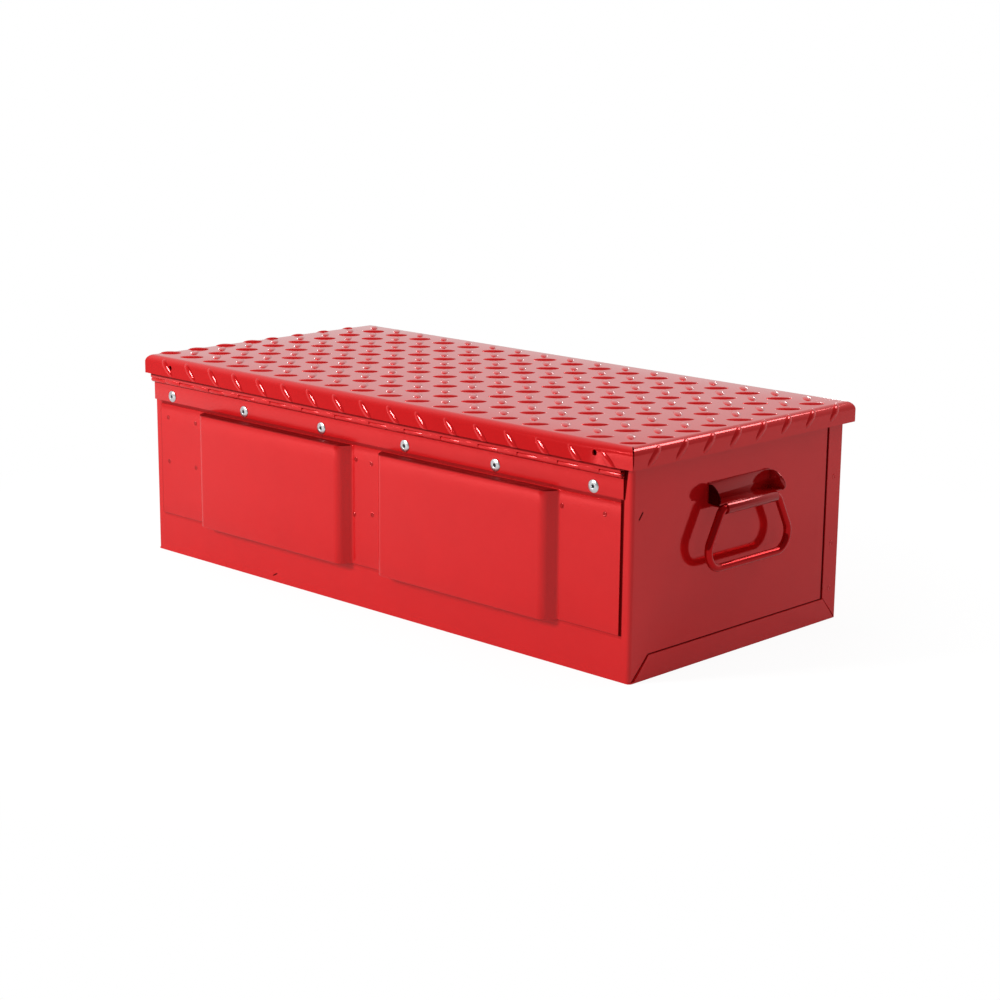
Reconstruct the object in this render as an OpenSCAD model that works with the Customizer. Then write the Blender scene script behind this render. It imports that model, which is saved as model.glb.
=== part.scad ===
// Portable steel tool box with drawers: a tread-plate lid on a piano hinge over a folded
// sheet body, four drawers on telescopic slides, a cylinder lock, a folding stay at each
// end and a drop handle on each end wall.
// Millimetres, +Z up. The hinge side faces -Y and the drawers open towards +Y.
// The origin is on the floor, at the middle of the overall footprint.

/* [Body] */
// Length over the end walls
body_len = 705; // [690:1:760]
// Depth over the front and rear walls
body_depth = 321; // [316:1:335]
// Height of the walls above the floor
wall_top = 217; // [216:0.5:221]
// Thickness of the body sheet
sheet = 1.2; // [1:0.1:1.4]
// Outside radius of the folded upright corners
corner_r = 4; // [3:0.5:6]
// Width of the rolled-in flange along the top of the walls
top_flange = 8; // [5:0.5:10]
// Height of the floor's flaps on the end walls
flap_h = 23; // [16:1:30]
// Width of the front wall's flanges on the end walls
flange_w = 22; // [16:1:30]
// Open seam between a flap and a flange
seam = 1; // [0.6:0.1:1.5]

/* [Lid] */
// How far the lid's lip stands out past each end wall
lid_over_end = 7; // [5:0.5:9]
// How far it stands out past the rear wall
lid_over_rear = 8.2; // [8:0.1:9.5]
// How far it stands out past the front wall
lid_over_front = 13.8; // [13.5:0.1:18]
// Thickness of the lid's plate
lid_t = 2; // [1.6:0.1:2.2]
// Space between the walls' top edge and the lid's plate
lid_gap = 4.4; // [3.5:0.1:8]
// Height of the folded lip, from the plate's top face
lid_lip = 20.4; // [18:0.1:24]
// Outside radius of the lid's bends
lid_bend_r = 8; // [3:0.5:10]
// Distance between treads of the same direction, along the lid
tread_pitch = 40.6; // [34:0.1:50]
// Distance between treads of the same direction, across the lid
tread_rows = 39.8; // [34:0.1:50]
// Length of a tread
tread_len = 25; // [18:0.5:28]
// Width of a tread
tread_w = 8.5; // [4:0.1:10]
// Height of a tread above the plate
tread_h = 1.6; // [0.5:0.1:2]
// Shift of the tread pattern along the lid
tread_x = -3.9; // [-10:0.1:10]
// Shift of the tread pattern towards the hinge
tread_y = 11.1; // [0:0.1:20]
// Slant of its rows against the lid's long edges, in degrees
tread_slant = 0.55; // [-1.5:0.05:1.5]
// Slant of its columns against the lid's short edges, in degrees
tread_lean = 1.05; // [-1.5:0.05:1.5]
// Diameter of the two holes in the lip over the hinge
lip_hole_d = 5.6; // [4:0.1:7]
// Distance of those holes from the lid's middle
lip_hole_x = 313; // [290:1:325]
// Depth of the stiffening channels under the lid
stiff_h = 9; // [6:0.5:10]
// Width of a stiffening channel
stiff_w = 46; // [30:1:60]

/* [Piano hinge] */
// Outside diameter of the knuckles
knuckle_d = 5.4; // [4.8:0.1:5.6]
// Length of one knuckle
knuckle_len = 25.4; // [20:0.1:40]
// Gap between neighbouring knuckles
knuckle_gap = 0.4; // [0.3:0.05:0.8]
// Diameter of the hinge pin
pin_d = 2.5; // [2:0.1:3]
// Thickness of the hinge leaves
leaf_t = 1.2; // [1:0.1:1.4]
// Distance from the lip's lower edge down to the pin
pin_drop = 7; // [6:0.5:8]
// Distance from the pin down to the body leaf's lower edge
leaf_drop = 22.8; // [20:0.2:25]
// Distance from the body leaf's left end to the body's left end
leaf_start = 1; // [0.5:0.5:4]
// Distance from the hinge's right end to the body's right end
leaf_stop = 10; // [5:0.5:16]
// Number of blind rivets
rivets = 6; // [4:1:8]
// Flange diameter of a blind rivet
rivet_d = 12.6; // [9:0.1:13]
// Shank diameter of a blind rivet
rivet_shank = 4.8; // [4:0.1:5.6]
// Distance from the pin down to the row of rivets
rivet_drop = 16.2; // [13:0.1:17]
// Distance from the hinge's ends to the outer rivets
rivet_inset = 34; // [20:1:60]
// Shift of the row of rivets to the left
rivet_shift = 2; // [0:0.5:4]

/* [Rear panel] */
// Length of the panel
panel_len = 680; // [620:1:684]
// Height of its lower edge above the floor
panel_z0 = 44.5; // [40:0.5:46]
// Strip of wall left bare between the panel and the hinge leaf
panel_gap = 3.5; // [2:0.5:6]
// How far the bulges are pressed out
bulge_h = 13.8; // [12:0.1:15]
// Slope of a bulge's flanks
flank_a = 60; // [45:1:62]
// Inside radius of the bend at a bulge's foot
foot_r = 3; // [2:0.5:4]
// Inside radius of the bend at its crest
crest_r = 9; // [6:0.5:10]

/* [Drawers] */
// Width of a drawer tray
tray_w = 218; // [200:1:224]
// Thickness of the tray's sheet
tray_t = 1; // [0.8:0.1:1.2]
// Space behind a closed tray
tray_back_gap = 3; // [2:0.5:6]
// Space between the two tiers of trays
tray_gap = 11; // [9:0.5:14]
// Depth of the shelf below the walls' top edge
shelf_drop = 47; // [45:0.5:52]
// Height of the lower tray above the floor
tray_z0 = 49; // [48:0.5:52]
// Width of the post between the two banks
post_w = 41; // [38:0.5:60]
// Width of the space for a slide, on each side of a tray
slide_gap = 13.5; // [13:0.1:16]
// Length of a slide
slide_len = 300; // [250:1:305]
// Height of a slide
slide_h = 35; // [30:1:38]
// Thickness of the slide's steel
slide_t = 1.2; // [1:0.1:1.4]
// Thickness of a drawer front
front_t = 11; // [10:0.1:12]
// Gap between the upper and the lower drawer front
front_gap = 3; // [2:0.5:6]
// Running gap between a drawer front and the front wall
front_clear = 0.4; // [0.3:0.05:1]
// Height of the finger roll along a drawer front's top
roll_h = 16; // [13:0.5:20]
// Height of the folded ends of the shelf
shelf_lip = 12; // [6:0.5:12]

/* [Lock] */
// Diameter of the lock's barrel
barrel_d = 19; // [16:0.5:20]
// Diameter of its outer flange
lock_head_d = 23; // [21:0.5:25]
// Diameter of the turning plug
plug_d = 12; // [10:0.5:13]
// Length of the barrel
barrel_len = 17; // [16:0.5:20]
// Distance from the walls' top edge down to the lock
lock_drop = 31; // [29:0.5:33]
// Reach of the cam from the lock's axis
cam_len = 28; // [25:0.5:29]
// Width of the cam
cam_w = 14; // [12:0.5:15]

/* [Lid stays] */
// Distance between the holes of each arm
stay_r = 150; // [130:1:151]
// Width of an arm
stay_w = 12; // [10:0.5:13]
// Thickness of an arm
stay_t = 2; // [1.6:0.1:2.2]
// Diameter of the studs the arms turn on
stud_d = 6; // [5:0.1:7]
// Distance of the arms from the end wall's inner face
stay_inset = 11.7; // [11:0.1:14]
// Slope of the line from the hinge pin down to the wall stud
stay_down = 2.5; // [2:0.1:3]
// Slope of the line from the hinge pin up to the lid stud
stay_up = 4.5; // [4.2:0.1:4.8]

/* [Drop handles] */
// Diameter of the bail's rod
rod_d = 8; // [7:0.1:9]
// Distance of the rod from the end wall
rod_out = 14.5; // [13.5:0.1:17]
// Height of the bail's pivot above the floor
bail_z = 150; // [140:1:155]
// Distance of the handles from the end wall's middle, towards the hinge
bail_back = 5.2; // [0:0.2:8]
// Length of the bail's top bar
bail_top = 86; // [82:1:100]
// Greatest width of the bail, between the rod's centre lines
bail_w = 122.5; // [116:0.5:140]
// Drop from the pivot to the lower bar
bail_drop = 56.4; // [52:0.2:65]
// Radius of the bail's lower corners, at the rod's centre
bail_r = 18; // [14:0.5:26]
// Radius of its upper corners, at the rod's centre
bail_top_r = 8; // [6:0.5:9]
// Length of the curl that holds the top bar
curl_len = 77; // [60:1:77]
// Thickness of the handle bracket
bracket_t = 1.6; // [1.2:0.1:2]
// Width of the bracket at the wall
bracket_w = 95; // [90:1:110]
// Height of the bracket's plate above its shelf
bracket_h = 18; // [12:0.5:24]
// Reach of the gussets from the wall
gusset_out = 19; // [16:0.5:22]
// How far each gusset leans outwards at its front
gusset_lean = 4; // [0:0.5:6]

/* [Hidden] */

$fn = 48;
EPS = 0.5;              // overshoot of a cut past the face it opens
PAINT = "#c8242c";
ZINC = "#b9bdc2";
STEEL = "#8d9196";
RUN = 0.05;             // radial running clearance of a pin in its bore
SLIP = 0.3;             // gap between pieces that pass each other
ARC = 6;                // steps in a bent corner of a profile

// heights
lid_under = wall_top + lid_gap;
lid_top = lid_under + lid_t;
lip_z = lid_top - lid_lip;
lip_hole_z = (lip_z + lid_top) / 2;
pin_z = lip_z - pin_drop;
leaf_z0 = pin_z - leaf_drop;
rivet_z = pin_z - rivet_drop;
panel_z1 = leaf_z0 - panel_gap;
lock_z = wall_top - lock_drop;
over_trays = 10;                         // from the upper trays' edge to the shelf
shelf_z = wall_top - shelf_drop;
tray_top = shelf_z - over_trays;
tray_h = (tray_top - tray_z0 - tray_gap) / 2;
tier = tray_h + tray_gap;
opening_gap = 1.5;                       // round a tray, in the wall that it passes
opening_z0 = tray_z0 - opening_gap;
opening_z1 = tray_top + opening_gap;
front_drop = 5;                          // a drawer front below its tray
front_h = tier - front_gap;

// plan
bay_w = tray_w + 2 * slide_gap;
bank_x = (post_w + bay_w) / 2;
bay_x = bank_x + bay_w / 2;
panel_out = bulge_h + sheet;             // crest of the bulges, from the rear wall
lid_len = body_len + 2 * lid_over_end;
lid_depth = body_depth + lid_over_rear + lid_over_front;
wall_y = (panel_out - (body_depth + lid_over_front + tread_h)) / 2;
front_y = wall_y + body_depth;
lid_y = wall_y - lid_over_rear + lid_depth / 2;
handle_y = (wall_y + front_y) / 2 - bail_back;
wall_x = body_len / 2;
inner_x = wall_x - sheet;
knuckle_r = knuckle_d / 2;
pin_y = wall_y - knuckle_r - SLIP;
leaf_x0 = -wall_x + leaf_start;
leaf_x1 = wall_x - leaf_stop;
knuckles = floor((leaf_x1 - leaf_x0) / knuckle_len);
knuckle_step = (leaf_x1 - leaf_x0) / knuckles;
rivet_x0 = leaf_x0 + rivet_inset - rivet_shift;
rivet_step = (leaf_x1 - leaf_x0 - 2 * rivet_inset) / (rivets - 1);
tray_y0 = wall_y - bulge_h + tray_back_gap;
tray_y1 = front_y + front_clear;
slide_y1 = front_y - sheet - 2;
slide_y0 = slide_y1 - slide_len;

// points on an arc, for the bends of folded profiles
function arc(c, r, a0, a1) = [for (i = [0 : ARC])
  let (a = a0 + (a1 - a0) * i / ARC) [c[0] + r * cos(a), c[1] + r * sin(a)]];
function backwards(p) = [for (i = [len(p) - 1 : -1 : 0]) p[i]];
function mirrored(p) = [for (q = p) [-q[0], q[1]]];

// ---------------------------------------------------------------- folded body

// Plan of a box whose two rear corners are rounded.
module rear_rounded(w, y0, y1, r) {
  translate([-w / 2, y0 + r]) square([w, y1 - y0 - r]);
  translate([-w / 2 + r, y0]) square([w - 2 * r, y1 - y0]);
  for (s = [-1, 1]) translate([s * (w / 2 - r), y0 + r]) circle(r);
}

// Rear wall and both end walls, folded from one sheet.
module body_wrap() {
  y1 = front_y - sheet;
  color(PAINT) difference() {
    union() {
      translate([0, 0, sheet]) linear_extrude(wall_top - sheet) difference() {
        rear_rounded(body_len, wall_y, y1, corner_r);
        rear_rounded(body_len - 2 * sheet, wall_y + sheet, y1 + EPS, corner_r - sheet);
      }
      translate([0, 0, wall_top - sheet]) linear_extrude(sheet) difference() {
        rear_rounded(body_len - sheet, wall_y + sheet / 2, y1, corner_r - sheet / 2);
        translate([-wall_x + top_flange + sheet, wall_y + top_flange + sheet])
          square([body_len - 2 * (top_flange + sheet), body_depth]);
      }
    }
    for (s = [-1, 1])
      translate([s * bank_x - tray_w / 2 - opening_gap, wall_y - EPS, opening_z0])
        cube([tray_w + 2 * opening_gap, sheet + 2 * EPS, opening_z1 - opening_z0]);
    rivet_holes();
  }
}

module rivet_holes() {
  for (i = [0 : rivets - 1])
    translate([rivet_x0 + i * rivet_step, wall_y + sheet + EPS, rivet_z])
      rotate([90, 0, 0]) cylinder(d = rivet_shank + 2 * RUN, h = sheet + leaf_t + 2 * EPS);
}

// Floor, with a flap folded up over the foot of each end wall.
module floor_pan() {
  color(PAINT) {
    linear_extrude(sheet) rear_rounded(body_len + 2 * sheet, wall_y, front_y, corner_r);
    for (s = [-1, 1]) mirror([s < 0 ? 1 : 0, 0, 0]) translate([wall_x, 0, 0])
      rotate([90, 0, 90]) linear_extrude(sheet) polygon([
        [wall_y + corner_r + 2, 0], [front_y - sheet, 0],
        [front_y - flange_w + sheet, flap_h], [wall_y + corner_r + flap_h, flap_h]]);
  }
}

// Front wall, with drawer openings and flanges folded round on to the end walls.
module front_wall() {
  color(PAINT) difference() {
    union() {
      translate([-wall_x - sheet, front_y - sheet, sheet])
        cube([body_len + 2 * sheet, sheet, wall_top - sheet]);
      for (s = [-1, 1]) mirror([s < 0 ? 1 : 0, 0, 0]) translate([wall_x, 0, 0])
        rotate([90, 0, 90]) linear_extrude(sheet) polygon([
          [front_y, sheet], [front_y, wall_top - sheet],
          [front_y - flange_w, wall_top - sheet],
          [front_y - flange_w, flap_h + seam], [front_y - flange_w + sheet, flap_h + seam],
          [front_y - sheet + seam, sheet]]);
      translate([-wall_x + top_flange + 2 * sheet, front_y - top_flange - 2 * sheet,
                 wall_top - sheet])
        cube([body_len - 2 * (top_flange + 2 * sheet), top_flange + 2 * sheet, sheet]);
    }
    for (s = [-1, 1])
      translate([s * bank_x - bay_w / 2 + opening_gap, front_y - sheet - EPS, opening_z0])
        cube([bay_w - 2 * opening_gap, sheet + 2 * EPS, opening_z1 - opening_z0]);
    translate([0, front_y + EPS, lock_z]) rotate([90, 0, 0])
      cylinder(d = barrel_d + 2 * RUN, h = sheet + 2 * EPS);
  }
}

// Outer and inner skin line of one bulge, from its left foot to its right foot.
flank_run = foot_r * sin(flank_a) + (crest_r + sheet) * sin(flank_a)
  + (bulge_h - crest_r + (crest_r + sheet) * cos(flank_a) - sheet - foot_r
     + foot_r * cos(flank_a)) / tan(flank_a);
function bulge_half(w, over) = concat(
  arc([-w / 2, sheet + foot_r], foot_r + sheet - over, 270, 270 + flank_a),
  arc([-w / 2 + flank_run, bulge_h - crest_r], crest_r + over, 90 + flank_a, 90));
function bulge_line(w, over) =
  concat(bulge_half(w, over), mirrored(backwards(bulge_half(w, over))));
function moved(p, x) = [for (q = p) [q[0] + x, q[1]]];

// Panel on the rear wall, pressed out into a bulge behind each bank of drawers.
module rear_panel() {
  h = panel_z1 - panel_z0;
  half = panel_len / 2;
  outer = concat([[-half, sheet]], moved(bulge_line(bay_w, sheet), -bank_x),
                 moved(bulge_line(bay_w, sheet), bank_x), [[half, sheet]]);
  inner = concat([[-half, 0]], moved(bulge_line(bay_w, 0), -bank_x),
                 moved(bulge_line(bay_w, 0), bank_x), [[half, 0]]);
  color(PAINT) translate([0, wall_y, panel_z0]) mirror([0, 1, 0]) {
    linear_extrude(h) polygon(concat(outer, backwards(inner)));
    for (s = [-1, 1], z = [0, h - sheet]) translate([s * bank_x, 0, z])
      linear_extrude(sheet) polygon(concat([[-bay_w / 2, sheet / 2]],
        bulge_line(bay_w, sheet / 2), [[bay_w / 2, sheet / 2]]));
  }
}

// Channel between the two banks, open at the top.
module center_post() {
  y0 = wall_y + sheet;
  color(PAINT) translate([-post_w / 2, y0, sheet]) difference() {
    cube([post_w, front_y - sheet - y0, shelf_z - sheet]);
    translate([sheet, -EPS, sheet]) cube([post_w - 2 * sheet, body_depth, shelf_z]);
  }
}

// Upright sheet that closes a bank of drawers off from the well at the end of the box.
module partition() {
  y0 = wall_y + sheet;
  foot = 14;
  color(PAINT) translate([bay_x, y0, sheet]) {
    cube([sheet, front_y - sheet - y0, shelf_z - sheet]);
    cube([foot, front_y - sheet - y0, sheet]);
  }
}
module left_partition() mirror([1, 0, 0]) partition();
module right_partition() partition();

// Floor of the space under the lid, on top of the post and the partitions.
module shelf() {
  w = 2 * (bay_x + sheet);
  y0 = wall_y + sheet;
  color(PAINT) translate([-w / 2, y0, shelf_z]) {
    cube([w, front_y - sheet - y0, sheet]);
    for (x = [0, w - sheet]) translate([x, 0, 0])
      cube([sheet, front_y - sheet - y0, shelf_lip + sheet]);
  }
}

// ---------------------------------------------------------------- piano hinge

// One leaf's knuckles: every second one along the hinge, counted from the first.
module knuckle_row(first) {
  for (i = [first : 2 : knuckles - 1])
    translate([leaf_x0 + i * knuckle_step + knuckle_gap / 2, pin_y, pin_z])
      rotate([0, 90, 0]) cylinder(r = knuckle_r, h = knuckle_step - knuckle_gap);
}
module leaf_tongues(first, y, z0, z1) {
  for (i = [first : 2 : knuckles - 1])
    translate([leaf_x0 + i * knuckle_step + knuckle_gap / 2, y, z0])
      cube([knuckle_step - knuckle_gap, leaf_t, z1 - z0]);
}
module pin_bore() {
  translate([leaf_x0 - EPS, pin_y, pin_z]) rotate([0, 90, 0])
    cylinder(d = pin_d + 2 * RUN, h = leaf_x1 - leaf_x0 + 2 * EPS);
}

// Leaf riveted to the rear wall.
module hinge_leaf_body() {
  notch_z = pin_z - knuckle_r - SLIP;
  color(PAINT) difference() {
    union() {
      translate([leaf_x0, wall_y - leaf_t, leaf_z0])
        cube([leaf_x1 - leaf_x0, leaf_t, notch_z - leaf_z0]);
      leaf_tongues(0, wall_y - leaf_t, notch_z, pin_z);
      knuckle_row(0);
    }
    pin_bore();
    rivet_holes();
  }
}

// Leaf welded inside the lid's rear lip.
module hinge_leaf_lid() {
  y = wall_y - lid_over_rear + lid_t;
  notch_z = pin_z + knuckle_r + SLIP;
  leaf_z1 = lip_hole_z - lip_hole_d / 2 - 2;
  color(PAINT) difference() {
    union() {
      translate([leaf_x0, y, notch_z])
        cube([leaf_x1 - leaf_x0, leaf_t, leaf_z1 - notch_z]);
      leaf_tongues(1, y, pin_z, notch_z);
      knuckle_row(1);
    }
    pin_bore();
  }
}

module lip_holes() {
  for (s = [-1, 1])
    translate([s * lip_hole_x, wall_y, lip_hole_z]) rotate([90, 0, 0])
      cylinder(d = lip_hole_d, h = lid_over_rear + tread_h + EPS);
}

module hinge_pin() {
  color(STEEL) translate([leaf_x0, pin_y, pin_z]) rotate([0, 90, 0])
    cylinder(d = pin_d, h = leaf_x1 - leaf_x0);
}

// Blind rivets: a domed flange with the mandrel's hole, and a set tail inside.
module hinge_rivets() {
  dome = 1.5;
  mandrel_d = 2.6;
  tail_d = rivet_shank + 2.6;
  color(ZINC) for (i = [0 : rivets - 1])
    translate([rivet_x0 + i * rivet_step, wall_y - leaf_t, rivet_z])
      rotate([90, 0, 0]) rotate_extrude() polygon([
        [0, -leaf_t - sheet - 3], [tail_d / 2 - 0.8, -leaf_t - sheet - 3],
        [tail_d / 2, -leaf_t - sheet - 2], [tail_d / 2, -leaf_t - sheet],
        [rivet_shank / 2, -leaf_t - sheet], [rivet_shank / 2, 0],
        [rivet_d / 2, 0], [rivet_d / 2, 0.4], [rivet_d / 2 - 1.4, dome - 0.3],
        [mandrel_d / 2 + 1.2, dome], [mandrel_d / 2, dome - 0.2],
        [mandrel_d / 2, -1], [0, -1]]);
}

// ---------------------------------------------------------------- lid

// Section of the lid: a block whose two upper corners are rounded.
module bent_section(w, h, r) {
  translate([-w / 2, 0]) square([w, h - r]);
  translate([-w / 2 + r, 0]) square([w - 2 * r, h]);
  for (s = [-1, 1]) translate([s * (w / 2 - r), h - r]) circle(r);
}
// Block with rounded upper edges all round, its foot at z = 0.
module bent_block(l, d, h, r) {
  intersection() {
    translate([-l / 2, 0, 0]) rotate([90, 0, 90]) linear_extrude(l) bent_section(d, h, r);
    translate([0, d / 2, 0]) rotate([90, 0, 0]) linear_extrude(d) bent_section(l, h, r);
  }
}

// Outline of one tread: the overlap of two equal circles.
tread_r = (tread_len * tread_len / 4 + tread_w * tread_w / 4) / tread_w;
module tread() {
  intersection_for(s = [-1, 1]) translate([s * (tread_r - tread_w / 2), 0]) circle(tread_r);
}

// Treads of both directions over a field of the lid's flat pattern.
// Only those are drawn that lie wholly or partly between the limits, or just outside.
module tread_field(x0, x1, y0, y1) {
  hx = tread_pitch / 2;
  hy = tread_rows / 2;
  reach = tread_len / 2 / sqrt(2) + 4;
  intersection() {
    translate([x0, y0]) square([x1 - x0, y1 - y0]);
    union() for (m = [ceil((x0 - tread_x - reach) / hx) : floor((x1 - tread_x + reach) / hx)],
                 n = [ceil((y0 + tread_y - reach) / hy) : floor((y1 + tread_y + reach) / hy)])
      if ((m + n) % 2 == 0)
        translate([m * hx - n * hy * tan(tread_lean) + tread_x,
                   n * hy - m * hx * tan(tread_slant) - tread_y])
          rotate(m % 2 == 0 ? 45 : -45) tread();
  }
}

// Tread plate, folded down all round into a lip that is open at the corners.
module lid_plate() {
  r = lid_bend_r;
  hx = lid_len / 2;
  hy = lid_depth / 2;
  color(PAINT) translate([0, lid_y, 0]) difference() {
    union() {
      translate([0, 0, lip_z]) difference() {
        bent_block(lid_len, lid_depth, lid_lip, r);
        translate([0, 0, -EPS]) bent_block(lid_len - 2 * lid_t, lid_depth - 2 * lid_t,
          lid_lip - lid_t + EPS, r - lid_t);
      }
      translate([0, 0, lid_top - EPS]) linear_extrude(tread_h + EPS)
        tread_field(-hx + r, hx - r, -hy + r, hy - r);
      for (a = [0, 180]) lip_treads(a, hx - r, hy);
      for (a = [90, 270]) lip_treads(a, hy - r, hx);
    }
    for (sx = [-1, 1], sy = [-1, 1])
      translate([sx * (hx - lid_t / 2) - seam / 2, sy * (hy - lid_t / 2) - seam / 2, 0]) {
        corner = lid_t + EPS;
        translate([sx > 0 ? 0 : -corner + seam, sy > 0 ? 0 : -corner + seam, lip_z - EPS])
          cube([corner, corner, lid_lip - r + EPS]);
      }
    translate([0, -lid_y, 0]) lip_holes();
  }
}
// The pattern goes on round the bend and down the lip. The lip stands at y = -out,
// turned by an angle, and its flat pattern runs from the bend's end to its lower edge.
module lip_treads(turn, half, out) {
  near = out - lid_bend_r + PI / 2 * lid_bend_r;
  far = near + lid_lip - lid_bend_r;
  c = cos(turn);
  n = sin(turn);
  a = [-half * c + far * n, -half * n - far * c];
  b = [half * c + near * n, half * n - near * c];
  rotate([0, 0, turn]) translate([0, -out + EPS, lid_top - lid_bend_r]) rotate([90, 0, 0])
    linear_extrude(tread_h + EPS) translate([0, near]) rotate(-turn)
      tread_field(min(a[0], b[0]), max(a[0], b[0]), min(a[1], b[1]), max(a[1], b[1]));
}

// Two shallow channels welded under the plate.
module lid_stiffeners() {
  l = 2 * (inner_x - stay_inset - 22);
  color(PAINT) for (s = [-1, 1])
    translate([0, lid_y + s * lid_depth / 4, lid_under]) mirror([0, 0, 1])
      translate([-l / 2, 0, 0]) rotate([90, 0, 90]) linear_extrude(l) difference() {
        union() {
          translate([-stiff_w / 2, 0]) square([stiff_w, sheet]);
          polygon([[-stiff_w / 3, 0], [stiff_w / 3, 0], [stiff_w / 4, stiff_h],
                   [-stiff_w / 4, stiff_h]]);
        }
        polygon([[-stiff_w / 3 + sheet, -EPS], [stiff_w / 3 - sheet, -EPS],
                 [stiff_w / 4 - sheet, stiff_h - sheet],
                 [-stiff_w / 4 + sheet, stiff_h - sheet]]);
      }
}

// ---------------------------------------------------------------- lock

cam_t = 2;
cam_y = front_y - barrel_len - cam_t;    // rear face of the cam
ledge_gap = 0.5;                         // under the locked cam
nut_t = 4;

module lock_barrel() {
  head_t = 3;
  color(ZINC) translate([0, front_y, lock_z]) rotate([90, 0, 0]) difference() {
    union() {
      cylinder(d = barrel_d, h = barrel_len);
      translate([0, 0, -head_t]) cylinder(d1 = lock_head_d - 3, d2 = lock_head_d, h = 1.2);
      translate([0, 0, -head_t + 1.2]) cylinder(d = lock_head_d, h = head_t - 1.2);
    }
    translate([0, 0, -head_t - EPS])
      cylinder(d = plug_d + 2 * RUN, h = barrel_len + head_t + 2 * EPS);
  }
}
module lock_nut() {
  color(ZINC) translate([0, front_y - sheet, lock_z]) rotate([90, 0, 0]) difference() {
    cylinder(d = barrel_d + 8, h = nut_t, $fn = 6);
    translate([0, 0, -EPS]) cylinder(d = barrel_d + 2 * RUN, h = nut_t + 2 * EPS, $fn = 48);
  }
}
module lock_plug() {
  key_l = 7;
  key_w = 1.6;
  color(ZINC) translate([0, front_y, lock_z]) rotate([90, 0, 0]) difference() {
    translate([0, 0, -2.6]) cylinder(d = plug_d, h = barrel_len + 2.6);
    translate([-key_w / 2, -key_l / 2, -3.1]) cube([key_w, key_l, 12]);
  }
}
module lock_cam() {
  color(ZINC) translate([0, cam_y + cam_t, lock_z]) rotate([90, 0, 0])
    linear_extrude(cam_t) {
      circle(d = cam_w);
      translate([-cam_w / 2, 0]) square([cam_w, cam_len - 3]);
      polygon([[-cam_w / 2, cam_len - 3], [cam_w / 2, cam_len - 3],
               [cam_w / 2 - 3, cam_len], [-cam_w / 2 + 3, cam_len]]);
    }
}
// Hook on the lid: its ledge ends up under the cam once that is turned.
module lock_strike() {
  t = 2;
  ledge_z = lock_z - cam_w / 2 - ledge_gap - t;
  x0 = barrel_d / 2 + 4.5;
  w = 18;
  back = cam_y - 8;
  color(ZINC) translate([x0, 0, 0]) {
    translate([0, back, ledge_z]) cube([w, t, lid_under - ledge_z]);
    translate([0, back, ledge_z]) cube([w, cam_y + cam_t + 2 - back, t]);
    translate([0, back - 14, lid_under - t]) cube([w, 14 + t, t]);
  }
}

// ---------------------------------------------------------------- lid stays

lower_x = inner_x - stay_inset;          // outer face of the lower arm
upper_x = lower_x - stay_t - SLIP;       // outer face of the upper arm
stay_b = [pin_y + stay_r * cos(stay_down), pin_z - stay_r * sin(stay_down)];
stay_l = [pin_y + stay_r * cos(stay_up), pin_z + stay_r * sin(stay_up)];
stay_m = stay_b + stay_l - [pin_y, pin_z];
stud_head_d = stud_d + 4;
stud_head_t = 1.2;

// Flat arm between two points of the (Y, Z) plane, its outer face at x.
module stay_arm(x, p, q) {
  l = norm(q - p);
  a = atan2(q[1] - p[1], q[0] - p[0]);
  color(ZINC) translate([x - stay_t, p[0], p[1]]) rotate([a, 0, 0])
    rotate([90, 0, 90]) linear_extrude(stay_t) difference() {
      union() {
        circle(d = stay_w);
        translate([l, 0]) circle(d = stay_w);
        translate([0, -stay_w / 2]) square([l, stay_w]);
      }
      circle(d = stud_d + 2 * RUN);
      translate([l, 0]) circle(d = stud_d + 2 * RUN);
    }
}
module x_cylinder(x0, x1, p, d) {
  translate([x0, p[0], p[1]]) rotate([0, 90, 0]) cylinder(d = d, h = x1 - x0);
}
module side(s) mirror([s < 0 ? 1 : 0, 0, 0]) children();

// Shouldered studs welded inside the end walls.
module stay_studs_body() {
  color(ZINC) for (s = [-1, 1]) side(s) {
    x_cylinder(lower_x + SLIP, inner_x, stay_b, stud_head_d);
    x_cylinder(lower_x - stay_t - SLIP, lower_x + SLIP + EPS, stay_b, stud_d);
    x_cylinder(lower_x - stay_t - SLIP - stud_head_t, lower_x - stay_t - SLIP, stay_b,
               stud_head_d);
  }
}
// Angle brackets under the lid, with the studs of the upper arms.
module stay_brackets_lid() {
  w = 22;
  x = upper_x - stay_t - SLIP;
  color(ZINC) for (s = [-1, 1]) side(s) {
    translate([x - stay_t, stay_l[0] - w / 2, stay_l[1] - w / 3])
      cube([stay_t, w, lid_under - stay_l[1] + w / 3]);
    translate([x - 18, stay_l[0] - w / 2, lid_under - stay_t]) cube([18, w, stay_t]);
    x_cylinder(x - EPS, upper_x + SLIP, stay_l, stud_d);
    x_cylinder(upper_x + SLIP, upper_x + SLIP + stud_head_t, stay_l, stud_head_d);
  }
}
// Rivet at the stay's middle joint, headed on both sides.
module stay_rivet() {
  color(ZINC) {
    x_cylinder(lower_x + SLIP / 2, lower_x + SLIP / 2 + stud_head_t, stay_m, stud_head_d);
    x_cylinder(upper_x - stay_t - SLIP, lower_x + SLIP, stay_m, stud_d);
    x_cylinder(upper_x - stay_t - SLIP - stud_head_t, upper_x - stay_t - SLIP, stay_m,
               stud_head_d);
  }
}
module stay_arm_lower_left() side(-1) stay_arm(lower_x, stay_b, stay_m);
module stay_arm_lower_right() side(1) stay_arm(lower_x, stay_b, stay_m);
module stay_arm_upper_left() side(-1) stay_arm(upper_x, stay_l, stay_m);
module stay_arm_upper_right() side(1) stay_arm(upper_x, stay_l, stay_m);
module stay_rivet_left() side(-1) stay_rivet();
module stay_rivet_right() side(1) stay_rivet();

// ---------------------------------------------------------------- drop handles

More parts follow.
